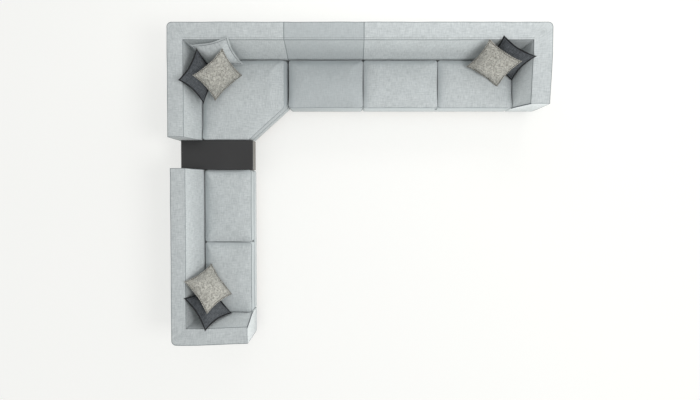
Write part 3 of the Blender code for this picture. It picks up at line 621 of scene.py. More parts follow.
# An L-shaped cover. Rings of the section run in along one wall, fan round the outer corner in a quarter
# circle to the inner mitre, and run out along the other wall. The crest falls evenly from the corner
# to the height of each free end.
def cornerCover(name, node, corner, along, across, lengths, walls, openEnds, phase):
    s = coverStyle
    (wall, endTop), (otherWall, otherTop) = walls
    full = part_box(node)[1].z
    corner, along, across = (np.array(v, float) for v in (corner, along, across))
    first = CoverRings(corner, along, across)
    second = CoverRings(corner, across, along)
    section, otherSection = coverSection(wall, full), coverSection(otherWall, full)
    rows = endRings(first, lengths[0], 1, wall, endTop)
    start, inner = lengths[0] - s["endRoll"], otherWall["foot"] + s["cornerEase"]
    for place in between(start, inner, s["step"])[1:]:
        crest = full + (endTop - full) * (place - inner) / (start - inner)
        rows.append(first.row(place, coverSection(wall, crest)))
    fan = []
    mitre = corner + along * otherWall["band"] + across * wall["band"]
    up = np.array([0, 0, 1.0])
    onBand = section[0] < wall["band"] - 1e-6
    for angle in np.linspace(0, pi / 2, s["fanRings"]):
        arc = corner + (along * (1 - sin(angle)) + across * (1 - cos(angle))) * s["outerCorner"]
        share = np.clip(section[0] / wall["band"], -0.1, 1)[:, None]
        bandPoints = arc + (mitre - arc) * share
        innerPoints = corner + along * otherSection[0][:, None] + across * section[0][:, None]
        fan.append(np.where(onBand[:, None], bandPoints, innerPoints) + up * section[1][:, None])
    finish, otherFinish = section[2:], otherSection[2:]
    for share in np.linspace(0, 1, s["easeRings"])[1:-1]:
        begin = first.at(inner, section)
        rows.append((begin + (fan[0] - begin) * share, *finish))
    rows += [(ring, *np.minimum(finish, otherFinish)) for ring in fan]
    start, inner = lengths[1] - s["endRoll"], wall["foot"] + s["cornerEase"]
    for share in np.linspace(0, 1, s["easeRings"])[1:-1]:
        end = second.at(inner, otherSection)
        rows.append((fan[-1] + (end - fan[-1]) * share, *otherFinish))
    for place in between(inner, start, s["step"])[:-1]:
        crest = full + (otherTop - full) * (place - inner) / (start - inner)
        rows.append(second.row(place, coverSection(otherWall, crest)))
    rows += endRings(second, lengths[1], 1, otherWall, otherTop)[::-1]
    sewCover(name, rows, section, phase, node, openEnds, 0.0)


# A straight cover: the section is carried along a line between two closed ends
def straightCover(name, node, start, along, across, length, wall, phase, napAndShade):
    s = coverStyle
    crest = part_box(node)[1].z
    rings = CoverRings(np.array(start, float), np.array(along, float), np.array(across, float))
    section = coverSection(wall, crest)
    rows = endRings(rings, 0.0, -1, wall, crest)
    for place in between(s["endRoll"], length - s["endRoll"], s["step"])[1:-1]:
        rows.append(rings.row(place, section))
    rows += endRings(rings, length, 1, wall, crest)[::-1]
    sewCover(name, rows, section, phase, node, (False, False), napAndShade)


# Each wall: its width across the top band and at the foot, whether its band has a flat-felled seam, how
# far its inner face swells out, and how much painted shade darkens its inner face under its seam
walls = {
    "rear": {"band": 0.208, "foot": 0.326, "felt": 1, "swell": -0.008, "paintedShade": 0.10},
    "cornerRear": {"band": 0.208, "foot": 0.326, "felt": 1, "swell": -0.008, "paintedShade": 0.0},
    "cornerLeft": {"band": 0.187, "foot": 0.284, "felt": 0, "swell": -0.012, "paintedShade": 0.0},
    "left": {"band": 0.175, "foot": 0.277, "felt": 0, "swell": -0.012, "paintedShade": 0.0},
    "rightArm": {"band": 0.227, "foot": 0.339, "felt": 0, "swell": 0.003, "paintedShade": 0.35},
    "lowerArm": {"band": 0.200, "foot": 0.296, "felt": 0, "swell": 0.003, "paintedShade": 0.35},
}
armFrontHeight = 0.68
right, left, front, rear = (1, 0, 0), (-1, 0, 0), (0, -1, 0), (0, 1, 0)
unitNap = {"single": 0.5}    # the single unit's cloth lies the other way and looks darker


# Each cover starts at an upper corner of its solid's plan and runs along the walls behind its seats
def buildCovers():
    low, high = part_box("corner_back_cover")
    full = high.z
    cornerCover("cornerBackCover", "corner_back_cover", (low.x, high.y, 0), right, front,
                (high.x - low.x, high.y - low.y),
                ((walls["cornerRear"], full), (walls["cornerLeft"], full)), (False, False), 0.4)
    low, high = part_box("single_back_cover")
    straightCover("singleBackCover", "single_back_cover", (low.x, high.y, 0), right, front,
                  high.x - low.x, walls["rear"], 1.7, unitNap["single"])
    low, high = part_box("right_end_back_and_arm_cover")
    cornerCover("rightEndCover", "right_end_back_and_arm_cover", (high.x, high.y, 0), left, front,
                (high.x - low.x, high.y - low.y),
                ((walls["rear"], full), (walls["rightArm"], armFrontHeight)), (False, True), 2.9)
    low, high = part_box("left_end_back_and_arm_cover")
    cornerCover("leftEndCover", "left_end_back_and_arm_cover", (low.x, low.y, 0), rear, right,
                (high.y - low.y, high.x - low.x),
                ((walls["left"], full), (walls["lowerArm"], armFrontHeight)), (False, True), 4.2)


buildCovers()
print("covers sewn")


# Corners of a plan outline whose sides have moved inwards, all by one distance or each by its own
def insetCorners(corners, distance):
    corners = np.array(corners, float)
    ahead = np.roll(corners, -1, 0) - corners
    ahead /= np.linalg.norm(ahead, axis=1)[:, None]
    inward = np.stack([-ahead[:, 1], ahead[:, 0]], -1)
    distance = np.broadcast_to(distance, len(corners)).astype(float)
    both = np.stack([np.roll(inward, 1, 0), inward], 1)
    moves = np.stack([np.roll(distance, 1), distance], -1)
    return corners + np.linalg.solve(both, moves[..., None])[..., 0]


# How many points each corner's arc and each side take, so that related outlines can share them
def outlineSteps(corners, radii, step):
    corners = np.array(corners, float)
    lengths = np.linalg.norm(np.roll(corners, -1, 0) - corners, axis=1)
    return [max(4, ceil(r / step * 1.2)) for r in radii], [max(3, ceil(w / step)) for w in lengths]


# Round-cornered plan outline: arcs at the corners, and sides drawn in at their middle
def planOutline(corners, radii, steps, draw=0.0):
    corners = np.array(corners, float)
    count = len(corners)
    ahead = np.roll(corners, -1, 0) - corners
    ahead /= np.linalg.norm(ahead, axis=1)[:, None]
    arcs = []
    for i, corner in enumerate(corners):
        before, after = ahead[i - 1], ahead[i]
        turn = atan2(before[0] * after[1] - before[1] * after[0], before @ after)
        inward = np.array([-before[1], before[0]])
        centre = corner - before * radii[i] * tan(turn / 2) + inward * radii[i]
        angle = np.linspace(0, turn, steps[0][i])[:, None]
        arcs.append(centre - inward * radii[i] * np.cos(angle) + before * radii[i] * np.sin(angle))
    points = []
    for i, arc in enumerate(arcs):
        begin, end = arc[-1], arcs[(i + 1) % count][0]
        share = np.linspace(0, 1, steps[1][i])[1:-1, None]
        inward = np.array([-ahead[i][1], ahead[i][0]])
        points += [arc, begin + (end - begin) * share + inward * draw * (1 - (2 * share - 1) ** 2)]
    return np.concatenate(points)


# Outward directions round a plan outline, square to the line between each point's neighbours
def outwardOf(outline):
    ahead = np.roll(outline, -1, 0) - np.roll(outline, 1, 0)
    ahead /= np.linalg.norm(ahead, axis=1)[:, None]
    return np.stack([ahead[:, 1], -ahead[:, 0]], -1)


# Plan corners of a node's box, anticlockwise from the lowest x and y, moved inwards by an inset
def boxCorners(node, inset=0.0):
    low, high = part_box(node)
    return insetCorners([(low.x, low.y), (high.x, low.y), (high.x, high.y), (low.x, high.y)], inset)


# Corners of the corner unit's seat or base, whose front corner is cut off
cutCorner = {"across": 0.472, "along": 0.429, "radius": 0.10}
cutCorner["outward"] = np.array([cutCorner["along"], -cutCorner["across"]]) / hypot(
    cutCorner["along"], cutCorner["across"])


def cutCorners(node, inset=0.0):
    low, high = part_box(node)
    corners = [(low.x, low.y), (high.x - cutCorner["across"], low.y),
               (high.x, low.y + cutCorner["along"]), (high.x, high.y), (low.x, high.y)]
    return insetCorners(corners, inset)


def cutRadii(radius):
    return [radius, cutCorner["radius"] / 2, cutCorner["radius"], radius, radius]


# Plan points in rows, with a height for each of them
def raised(places, heights):
    return np.concatenate([places, np.broadcast_to(heights, places.shape[:2])[..., None]], -1)


# Skirts: an upholstered band round each base, rolled under at the bottom. Its section is a thin box
# whose outer face has two quarter-circle edges and bulges by half a sine, carried round the outline.
skirtStyle = {"thickness": 0.018, "radius": 0.030, "roll": 0.004, "ease": 0.002, "swell": 0.002,
              "step": 0.014, "edgeSteps": 5, "faceSteps": 10, "waveDepth": 0.0012, "waveScale": 1.6,
              "paintedShade": 0.75, "paintedShadePower": 1.5}


def buildSkirt(unit, corners, radii, phase):
    s = skirtStyle
    node = unit + "_skirt"
    low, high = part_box(node)
    outline = planOutline(corners, radii, outlineSteps(corners, radii, s["step"]))
    outward = outwardOf(outline)
    roll, rise = s["roll"], high.z - low.z
    back, ease = s["thickness"], s["ease"]
    angle = np.linspace(0, pi / 2, s["edgeSteps"])
    middle = np.linspace(roll, rise - roll, s["faceSteps"])[1:-1]
    depth = np.concatenate([roll * (1 - np.sin(angle)), np.zeros(len(middle)),
                            roll * (1 - np.cos(angle)), [back - ease, back, back, back - ease]])
    height = np.concatenate([roll * (1 - np.cos(angle)), middle, rise - roll * (1 - np.sin(angle)),
                             [rise, rise - ease, ease, 0.0]])
    swell = s["swell"] * np.sin(pi * height / rise) * (depth < roll)
    places = outline[:, None] - outward[:, None] * (depth - swell)[None, :, None]
    grid = raised(places, low.z + height)
    outer = (depth < roll / 2) * np.sin(pi * height / rise)
    wave = s["waveDepth"] * slowWaves(grid * s["waveScale"], phase) * outer[None, :]
    grid[..., :2] += outward[:, None] * wave[..., None]
    travel, around = travelled(outline), travelled(np.stack([depth, height], -1))
    uv = np.stack(np.broadcast_arrays(travel[:, None], around[None, :]), -1)
    # Painted shade: each band is darker towards its top, under the seat, and fades out towards the floor
    paintedShading = s["paintedShade"] * np.clip(height / rise, 0, 1) ** s["paintedShadePower"]
    napAndShade = np.broadcast_to(np.maximum(paintedShading, unitNap.get(unit, 0.0)), grid.shape[:2])
    name = node.replace("_skirt", "SkirtBand").replace("_end", "End")
    piece = newPiece(name, grid, skinFaces(grid.shape, True), [cloth], uv, napAndShade=napAndShade)
    dress(piece, node)


buildSkirt("corner", cutCorners("corner_skirt"), cutRadii(skirtStyle["radius"]), 0.3)
for unit, phase in (("single", 1.1), ("right_end", 2.4), ("left_end", 3.7)):
    buildSkirt(unit, boxCorners(unit + "_skirt"), [skirtStyle["radius"]] * 4, phase)
print("skirts made")


# Stuffing by cloth simulation: pressure swells a closed skin, and nothing pulls it down
stuffing = {
    "frames": 20, "mass": 0.3, "quality": 5,
    "seat": {"pressure": 3.2, "stiffness": 18, "bending": 1.5, "shrink": 0.0},
    "pillow": {"pressure": 4.0, "stiffness": 12, "bending": 0.3, "shrink": -0.05},
}
simulated = []


# Gives a piece its cloth settings, and holds some of its points where they are
def stuff(piece, look, held, firmness=1.0):
    modifier = piece.modifiers.new("stuffing", "CLOTH")
    settings = modifier.settings
    settings.use_pressure = True
    settings.uniform_pressure_force = look["pressure"] * firmness
    settings.mass = stuffing["mass"]
    settings.quality = stuffing["quality"]
    settings.tension_stiffness = look["stiffness"]
    settings.compression_stiffness = look["stiffness"]
    settings.shear_stiffness = look["stiffness"] / 3
    settings.bending_stiffness = look["bending"]
    settings.shrink_min = look["shrink"]
    settings.effector_weights.gravity = 0
    modifier.collision_settings.use_collision = False
    modifier.point_cache.frame_start = 1
    modifier.point_cache.frame_end = stuffing["frames"]
    group = piece.vertex_groups.new(name="held")
    group.add([int(i) for i in held], 1.0, "REPLACE")
    settings.vertex_group_mass = "held"
    simulated.append(piece)


# Steps the clock once for every stuffed piece, and returns where each one's points came to rest
def settle():
    scene = bpy.context.scene
    scene.frame_start, scene.frame_end = 1, stuffing["frames"]
    for number in range(1, stuffing["frames"] + 1):
        scene.frame_set(number)
    rested = {}
    graph = bpy.context.evaluated_depsgraph_get()
    for piece in simulated:
        rested[piece.name] = pointsOf(piece.evaluated_get(graph).data)
    for piece in simulated:
        piece.modifiers.clear()
        piece.vertex_groups.clear()
    scene.frame_set(1)
    return rested


# Seat cushions: a boxed cushion with drawn-in sides, which the stuffing then swells
seatStyle = {
    "sideSwell": 0.002, "draw": 0.003, "cornerRadius": 0.030, "leastRadius": 0.006,
    "bottomEdge": 0.005, "topEdge": 0.008, "edgeRings": 4, "sideRings": 8, "shoulderWidth": 0.115,
    "shoulderRise": 0.038, "shoulderPower": 2.2, "shoulderShare": 0.7, "shoulderRings": 12,
    "middleRings": 8, "crown": 0.006, "frontRise": 0.35, "frontDepth": 0.20, "leanPower": 6,
    "step": 0.014, "voxel": 0.008, "seamDrop": 0.004, "seamInset": 0.003, "seamStep": 0.005,
    "heldNearSeam": 0.006, "heldRise": 0.012, "cap": 0.012, "sideways": 0.3, "slack": 0.001,
    "waveDepth": 0.0022, "waveScale": 2.2, "panelPaintedShade": 1.0, "panelPaintedShadeDepth": 0.17, "edgePaintedShade": 0.75,
    "edgePaintedShadeWidth": 0.050, "paintedShadeFade": 0.004, "welt": 0.0024, "weltSides": 6, "weltStep": 0.010,
    "weltShade": 0.7, "leastWeltShade": 0.25, "weltPaintedShadeDepth": 0.020, "weltPaintedShadeFade": 0.012,
}
seats = {
    "corner_seat_cushion": {"name": "cornerSeat", "phase": 0.8},
    "single_seat_cushion": {"name": "singleSeat", "phase": 1.9, "napAndShade": unitNap["single"]},
    "right_end_seat_cushion_inner": {"name": "rightEndInnerSeat", "phase": 3.1},
    "right_end_seat_cushion_arm": {"name": "rightEndArmSeat", "phase": 4.3},
    "left_end_seat_cushion_inner": {"name": "leftEndInnerSeat", "phase": 5.2, "weltShade": 1.0},
    "left_end_seat_cushion_arm": {"name": "leftEndArmSeat", "phase": 6.6, "weltShade": 1.0},
}
cornerLean = np.array([0, 0, 0.044, 0, 0])    # the corner seat's side by the single seat leans in
# How far each side of a seat reaches past its solid, anticlockwise from the side at the lowest y
reaches = {"corner": (0, 0, -0.004, 0.009, 0.009), "single": (0.008, 0, 0.009, -0.005),
           "right": (0.008, 0, 0.009, 0), "left_end_seat_cushion_inner": (0.012, 0, 0, 0.016),
           "left_end_seat_cushion_arm": (0.001, 0, -0.011, 0.016)}


def reachOf(node):
    return np.array(reaches[node if node in reaches else node.split("_")[0]])


# Corners and corner radii of a seat's outline at one level: an inset, and a share of its lean
def seatPlan(node, inset, leanShare):
    s = seatStyle
    inwards = s["sideSwell"] + inset - reachOf(node)
    if node.startswith("corner"):
        corners = insetCorners(cutCorners(node), inwards + cornerLean * leanShare)
        radii = cutRadii(s["cornerRadius"])
    else:
        corners = boxCorners(node, inwards)
        radii = [s["cornerRadius"]] * 4
    return corners, [max(radius - inset, s["leastRadius"]) for radius in radii]


# How far points lie behind a seat's open front, or behind the corner seat's cut corner
def behindFront(node, points):
    low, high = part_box(node)
    distance = high.x - points[:, 0] if node.startswith("left") else points[:, 1] - low.y
    if node.startswith("corner"):
        distance = np.minimum(distance, (cutCorners(node)[1] - points[:, :2]) @ cutCorner["outward"])
    return distance


# How far a seat's rim lies below its top: little at its open front, more beside a wall or a neighbour.
# Between the two it goes over smoothly, by 3 times the share squared less 2 times the share cubed.
def rimDrop(node, outline):
    s = seatStyle
    share = np.clip(behindFront(node, outline) / s["frontDepth"], 0, 1)
    share = share ** 2 * (3 - 2 * share)
    return s["shoulderRise"] * (s["frontRise"] + (1 - s["frontRise"]) * share)


# A seat before its stuffing: rings from the middle of the underside, up its side, to the top's middle.
# Both edges are quarter circles, the side bulges by half a sine, and the rings of the underside and the
# top are the rim drawn together towards its middle.
def seatBlank(node):
    s = seatStyle
    low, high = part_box(node)
    bottom, full = low.z, high.z - s["crown"]
    angle = np.linspace(0, pi / 2, s["edgeRings"])
    # Each ring of the side: its inset, its share of the way up, and a rise above that
    levels = [(s["bottomEdge"] * (1 - sin(a)), 0, s["bottomEdge"] * (1 - cos(a))) for a in angle]
    levels += [(-s["sideSwell"] * sin(pi * k), k, s["bottomEdge"] * (1 - k) - s["topEdge"] * k)
               for k in np.linspace(0, 1, s["sideRings"])[1:-1]]
    levels += [(s["topEdge"] * (1 - cos(a)), 1, -s["topEdge"] * (1 - sin(a))) for a in angle]
    steps = outlineSteps(*seatPlan(node, 0.0, 0.0), s["step"])
    rings = []
    for inset, share, rise in levels:
        outline = planOutline(*seatPlan(node, inset, share ** s["leanPower"]), steps, s["draw"])
        top = full - rimDrop(node, outline)
        rings.append(np.column_stack([outline, bottom + (top - bottom) * share + rise]))
    rim, base = rings[-1], rings[0]
    drop = full - rim[:, 2]
    # The top climbs from its edge over a broad shoulder to a flat middle
    shares = (np.linspace(1, s["shoulderShare"], s["shoulderRings"])[1:],
              np.linspace(s["shoulderShare"], 0, s["middleRings"])[1:])
    for share in np.concatenate(shares):
        ring = rim.mean(0) + (rim - rim.mean(0)) * share
        inward = np.linalg.norm(ring[:, :2] - rim[:, :2], axis=1)
        shoulder = np.clip(1 - inward / s["shoulderWidth"], 0, 1) ** s["shoulderPower"]
        ring[:, 2] = full - drop * shoulder + s["crown"] / 2 * (1 - share ** 2)
        rings.append(ring)
        rings.insert(0, base.mean(0) + (base - base.mean(0)) * share)
    return np.stack(rings, 1)


# The path of a seat's upper seam, just below the edge of its top
def seatSeamPath(node, inset, step):
    s = seatStyle
    steps = outlineSteps(*seatPlan(node, 0.0, 0.0), step)
    outline = planOutline(*seatPlan(node, inset, 1.0), steps, s["draw"])
    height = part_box(node)[1].z - s["crown"] - rimDrop(node, outline) - s["seamDrop"]
    return np.column_stack([outline, height])


# Each seat's skin, remeshed evenly. The underside and the seam round the top hold still, and the panels
# between them swell.
def startSeats():
    s = seatStyle
    for node, facts in seats.items():
        grid = seatBlank(node)
        piece = newPiece(facts["name"], grid, gridQuads(*grid.shape[:2], wrapRows=True), [cloth],
                         napAndShade=facts.get("napAndShade", 0.0))
        facts["piece"] = piece
        remesh = piece.modifiers.new("evenSkin", "REMESH")
        remesh.mode = "VOXEL"
        remesh.voxel_size = s["voxel"]
        remesh.use_smooth_shade = True
        graph = bpy.context.evaluated_depsgraph_get()
        skin = bpy.data.meshes.new_from_object(piece.evaluated_get(graph))
        piece.modifiers.clear()
        piece.data = skin
        skin.name = facts["name"]
        if not skin.materials:
            skin.materials.append(cloth)
        points = pointsOf(skin)
        held = points[:, 2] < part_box(node)[0].z + s["heldRise"]
        path = seatSeamPath(node, s["seamInset"], s["seamStep"])
        tree = KDTree(len(path))
        for i, spot in enumerate(path):
            tree.insert(spot, i)
        tree.balance()
        for i in np.nonzero(points[:, 2] > path[:, 2].min() - s["heldRise"])[0]:
            held[i] |= tree.find(points[i])[2] < s["heldNearSeam"]
        stuff(piece, stuffing["seat"], np.nonzero(held)[0])


# The cap keeps every point near its seat's space. Sides meet their neighbours, so they move least.
def finishSeats(rested):
    s = seatStyle
    for node, facts in seats.items():
        piece = facts["piece"]
        low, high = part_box(node)
        points = pointsOf(piece.data)
        if piece.name in rested:
            move = rested[piece.name] - points
            length = np.linalg.norm(move, axis=1)[:, None]
            move *= np.minimum(1, s["cap"] / np.maximum(length, 1e-9))
            move[:, :2] *= s["sideways"]
            points = points + move
            reach = reachOf(node).max() + s["slack"]
            points[:, :2] = np.clip(points[:, :2], np.array(low)[:2] - reach, np.array(high)[:2] + reach)
            over = points[:, 2] > (low.z + high.z) / 2
            points[over, 2] += s["waveDepth"] * slowWaves(points[over] * s["waveScale"], facts["phase"])
            piece.data.vertices.foreach_set("co", points.astype(np.float32).ravel())
            piece.data.shade_smooth()
            boxUv(piece.data)
            for label in ("seamAndShade", "napAndShade"):
                if label not in piece.data.attributes:
                    piece.data.attributes.new(label, "FLOAT", "POINT")
            shadePanels(piece.data, node, facts)
        dress(piece, node)
        seatWelt(node, facts)


# Painted shade on the panels under the upper seam, and along the top's edges by a wall or the seat to
# the left: a share that falls off as a bell curve with the distance from the edge, over the unit's nap
def shadePanels(mesh, node, facts):
    s = seatStyle
    points = pointsOf(mesh)
    low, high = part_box(node)
    depth = high.z - s["crown"] - rimDrop(node, points) - s["seamDrop"] - points[:, 2]
    onPanel = np.exp(-(depth / s["panelPaintedShadeDepth"]) ** 2) * np.clip(depth / s["paintedShadeFade"], 0, 1)
    fromEdge = np.clip(np.minimum(high.y - points[:, 1], points[:, 0] - low.x), 0, None)
    onTop = np.exp(-(fromEdge / s["edgePaintedShadeWidth"]) ** 2) * (depth < s["paintedShadeFade"])
    paintedShading = np.maximum(s["panelPaintedShade"] * onPanel, s["edgePaintedShade"] * onTop)
    value = np.clip(facts.get("napAndShade", 0.0) + paintedShading, 0, 1)
    mesh.attributes["napAndShade"].data.foreach_set("value", value.astype(np.float32))


# Welt: a thin cord sewn round the edge of a seat's top, laid on its swollen skin. Its seam mark paints
# shade along the front, and least where two seats meet.
def seatWelt(node, facts):
    s = seatStyle
    mesh = facts["piece"].data
    mesh.calc_loop_triangles()
    tree = BVHTree.FromPolygons([v.co for v in mesh.vertices],
                                [tuple(t.vertices) for t in mesh.loop_triangles])
    path = []
    for place in seatSeamPath(node, 0.0, s["weltStep"]):
        spot, normal, _, _ = tree.find_nearest(Vector(place))
        path.append(spot + normal * s["welt"] * weltProud)
    path = np.array(path)
    rings = cordRings(path, s["welt"], s["weltSides"], True)
    shade = np.clip((s["weltPaintedShadeDepth"] - behindFront(node, path)) / s["weltPaintedShadeFade"], s["leastWeltShade"],
                    facts.get("weltShade", s["weltShade"]))
    welt = newPiece(facts["name"] + "Welt", rings, skinFaces(rings.shape, True), [cloth],
                    seamAndShade=np.repeat(shade, s["weltSides"]))
    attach(welt, nodeBody[node])


# Pillows: two square panels sewn round the edge and stuffed, with a flat flange outside the seam
pillowStyle = {
    "side": 0.452, "thickness": 0.12, "panel": 56, "crowding": 0.25, "blankRise": 0.018,
    "fullness": 0.98, "rimRoom": 0.004, "firmnessSpread": 0.12, "flangeThickness": 0.0030,
    "flangeWave": 0.0026, "flangeWaves": 9, "edgeShare": 0.9, "edgeGrow": 1.004, "seamShade": 0.8,
    "cord": 0.0020, "cordSides": 5, "cordRise": 1.2,
}
pillowKinds = {
    "light": {"cloth": cloth, "thread": seamThread, "slot": "upholstery", "flange": 0.024,
              "draw": 0.15},
    "dark": {"cloth": slateCloth, "thread": slateThread, "slot": "dark_fabric", "flange": 0.027,
             "draw": 0.16, "rimSeam": 1.0, "cord": 0.0028},
    "patterned": {"cloth": basket, "thread": darkYarn, "slot": "patterned_fabric", "flange": 0.014,
                  "draw": 0.12},
}
pillows = {
    "corner_light_pillow": {"name": "cornerLightPillow", "kind": "light", "phase": 0.5},
    "corner_dark_pillow": {"name": "cornerDarkPillow", "kind": "dark", "phase": 1.4},
    "corner_patterned_pillow": {"name": "cornerPatternedPillow", "kind": "patterned", "phase": 2.2},
    "right_end_dark_pillow": {"name": "rightDarkPillow", "kind": "dark", "phase": 3.3},
    "right_end_patterned_pillow": {"name": "rightPatternedPillow", "kind": "patterned", "phase": 4.1},
    "left_end_dark_pillow": {"name": "leftDarkPillow", "kind": "dark", "phase": 5.7},
    "left_end_patterned_pillow": {"name": "leftPatternedPillow", "kind": "patterned", "phase": 6.4},
}
for facts in pillows.values():
    facts.update(pillowKinds[facts["kind"]])


# Where a pillow's solid lies: its middle and the directions of its two sides and its thickness,
# from the four corners of its mesh
def pillowPlace(node):
    points = pointsOf(frame["nodes"][node].data)
    middle = points.mean(0)
    first = points[np.argmax(np.linalg.norm(points - middle, axis=1))]
    opposite = points[np.argmax(np.linalg.norm(points - first, axis=1))]
    diagonal = (opposite - first) / np.linalg.norm(opposite - first)
    away = np.linalg.norm(np.cross(points - first, diagonal), axis=1)
    second = points[np.argmax(away)]
    third = points[np.argmax(np.linalg.norm(points - second, axis=1))]
    middle = (first + opposite + second + third) / 4
    along = (second - first) / np.linalg.norm(second - first)
    across = (third - first) - along * ((third - first) @ along)
    across /= np.linalg.norm(across)
    normal = np.cross(along, across)
    if normal[2] < 0:
        along, across = across, along
        normal = -normal
    return middle, along, across, normal


# Both panels on one grid: points from -1 to 1 in two directions, closer together near the edge, whose
# sides draw in between the corners by a parabola and which swell like a low dome
def pillowBlank(facts):
    s = pillowStyle
    count = s["panel"] + 1
    share = np.linspace(-1, 1, count)
    share = (1 - s["crowding"]) * share + s["crowding"] * np.sin(share * pi / 2)
    u, v = np.meshgrid(share, share, indexing="ij")
    half = s["side"] / 2 - facts["flange"]
    swell = ((1 - u ** 2) * (1 - v ** 2)) ** 0.5 * s["blankRise"]
    x = half * u * (1 - facts["draw"] * u ** 2 * (1 - v ** 2))
    y = half * v * (1 - facts["draw"] * v ** 2 * (1 - u ** 2))
    top = np.stack([x, y, swell], -1).reshape(-1, 3)
    inside = np.ones((count, count), bool)
    inside[[0, -1]] = False
    inside[:, [0, -1]] = False
    index = np.arange(count * count).reshape(count, count)
    lowIndex = index.copy()
    lowIndex[inside] = count * count + np.arange(inside.sum())
    under = np.stack([x, y, -swell], -1)[inside]
    faces = []
    for sheet, flip in ((index, False), (lowIndex, True)):
        quads = np.stack([sheet[:-1, :-1], sheet[1:, :-1], sheet[1:, 1:], sheet[:-1, 1:]], -1)
        quads = quads.reshape(-1, 4)
        faces += (quads[:, ::-1] if flip else quads).tolist()
    rim = np.concatenate([index[0, :-1], index[:-1, -1], index[-1, :0:-1], index[:0:-1, 0]])
    uvTop = np.stack([u, v], -1).reshape(-1, 2) * s["side"] / 2
    uvUnder = np.stack([u, v], -1)[inside] * s["side"] / 2
    return np.concatenate([top, under]), faces, rim, np.concatenate([uvTop, uvUnder])


# Pillows before their stuffing: they swell flat at the origin, held round the rim, some firmer than others
def startPillows():
    for facts in pillows.values():
        points, faces, rim, uv = pillowBlank(facts)
        mesh = bpy.data.meshes.new(facts["name"])
        mesh.from_pydata(points.tolist(), [], faces)
        piece = bpy.data.objects.new(facts["name"], mesh)
        bpy.context.scene.collection.objects.link(piece)
        facts.update(piece=piece, faces=faces, rim=rim, uv=uv, points=points)
        firmness = 1 + pillowStyle["firmnessSpread"] * sin(facts["phase"] * 3)
        stuff(piece, stuffing["pillow"], rim, firmness)


# Each pillow keeps within its thickness. Its flange is a thin closed band from the seam outwards, which
# waves by a sine, and a cord covers the seam.
def finishPillows(rested):
    s = pillowStyle
    for node, facts in pillows.items():
        rim = facts["rim"]
        points = rested.get(facts["name"], facts["points"]).copy()
        half = s["side"] / 2 - facts["flange"]
        points[:, 2] *= (s["thickness"] / 2) * s["fullness"] / np.abs(points[:, 2]).max()
        share = np.clip(1 - (points[:, :2] / (s["side"] / 2)) ** 2, 0, 1).prod(1)
        reach = s["thickness"] / 2 * share ** 0.5 + s["rimRoom"]
        points[:, 2] = np.clip(points[:, 2], -reach, reach)
        loop = points[rim]
        grow = s["side"] / 2 / half
        turns = np.linspace(0, 2 * pi, len(rim), endpoint=False) * s["flangeWaves"]
        outer = loop * np.array([grow, grow, 1.0])
        outer[:, 2] += s["flangeWave"] * np.sin(turns + facts["phase"])
        lift = np.array([0, 0, s["flangeThickness"] / 2])
        middle = (loop + outer) / 2
        edge, edgeLift = outer * [s["edgeGrow"], s["edgeGrow"], 1], lift * s["edgeShare"]
        ring = np.stack([loop + lift, middle + lift, outer + edgeLift, edge, outer - edgeLift,
                         middle - lift, loop - lift], 1)
        base, along, across, normal = pillowPlace(node)
        turn = np.stack([along, across, normal])
        count = len(points)
        allPoints = np.concatenate([points, ring.reshape(-1, 3)]) @ turn + base
        faces = facts["faces"] + gridQuads(*ring.shape[:2], wrapRows=True, wrapColumns=True, first=count)
        uv = np.concatenate([facts["uv"], np.clip(ring[..., :2], -1, 1).reshape(-1, 2)])
        seamAndShade = np.zeros(len(allPoints))
        seamAndShade[rim] = s["seamShade"]
        # The dark pillows' flanges take the near-black seam colour all round: painted shade of their dark
        # rims
        seamAndShade[count:] = facts.get("rimSeam", 0.0)
        bpy.data.objects.remove(facts["piece"])
        piece = newPiece(facts["name"], allPoints, faces, [facts["cloth"]], uv, seamAndShade, weld=1e-6)
        dress(piece, node)
        cord = cordRings((loop + lift * s["cordRise"]) @ turn + base, facts.get("cord", s["cord"]),
                         s["cordSides"], True, normal)
        skins = [(cord, True)]
        if facts["kind"] == "patterned":
            skins += [(rings @ turn + base, False) for rings in blanketStitches(outer)]
        trim = newPiece(facts["name"] + "Stitching", *joinSkins(skins), [facts["thread"]])
        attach(trim, nodeBody[node])


# Blanket stitches: short dark yarns that wrap the flange's edge, one every 22 mm. Each path is half a
# turn round the edge, with both its ends lying inwards on the flange.
stitchStyle = {"pitch": 0.022, "reach": 0.010, "past": 0.0012, "bulge": 0.0006, "rise": 0.0030,
               "radius": 0.0017, "sides": 5, "steps": 7}


def blanketStitches(outer):
    s = stitchStyle
    travel = travelled(outer)
    total = travel[-1] + np.linalg.norm(outer[0] - outer[-1])
    places = np.arange(0, total, total / round(total / s["pitch"]))
    closed = np.concatenate([outer, outer[:1]])
    travel = np.append(travel, total)
    spots = np.stack([np.interp(places, travel, closed[:, k]) for k in range(3)], -1)
    outward = spots[:, :2] / np.abs(spots[:, :2]).max(1)[:, None]
    outward = np.where(np.abs(outward) > 0.999, np.sign(outward), 0)
    outward /= np.maximum(np.linalg.norm(outward, axis=1), 1e-9)[:, None]
    angle = np.linspace(-pi / 2, pi / 2, s["steps"])
    reach = np.where(np.cos(angle) > 0.3, s["past"] + s["bulge"] * np.cos(angle), -s["reach"])
    stitches = []
    for spot, direction in zip(spots, outward):
        path = np.zeros((s["steps"], 3))
        path[:, :2] = spot[:2] + direction * reach[:, None]
        path[:, 2] = spot[2] + np.sin(angle) * s["rise"]
        stitches.append(cordRings(path, s["radius"], s["sides"], False,
                                  (-direction[1], direction[0], 0)))
    return stitches


startSeats()
startPillows()
rested = settle()
print("stuffing settled")
finishSeats(rested)
finishPillows(rested)
print("seats and pillows finished")


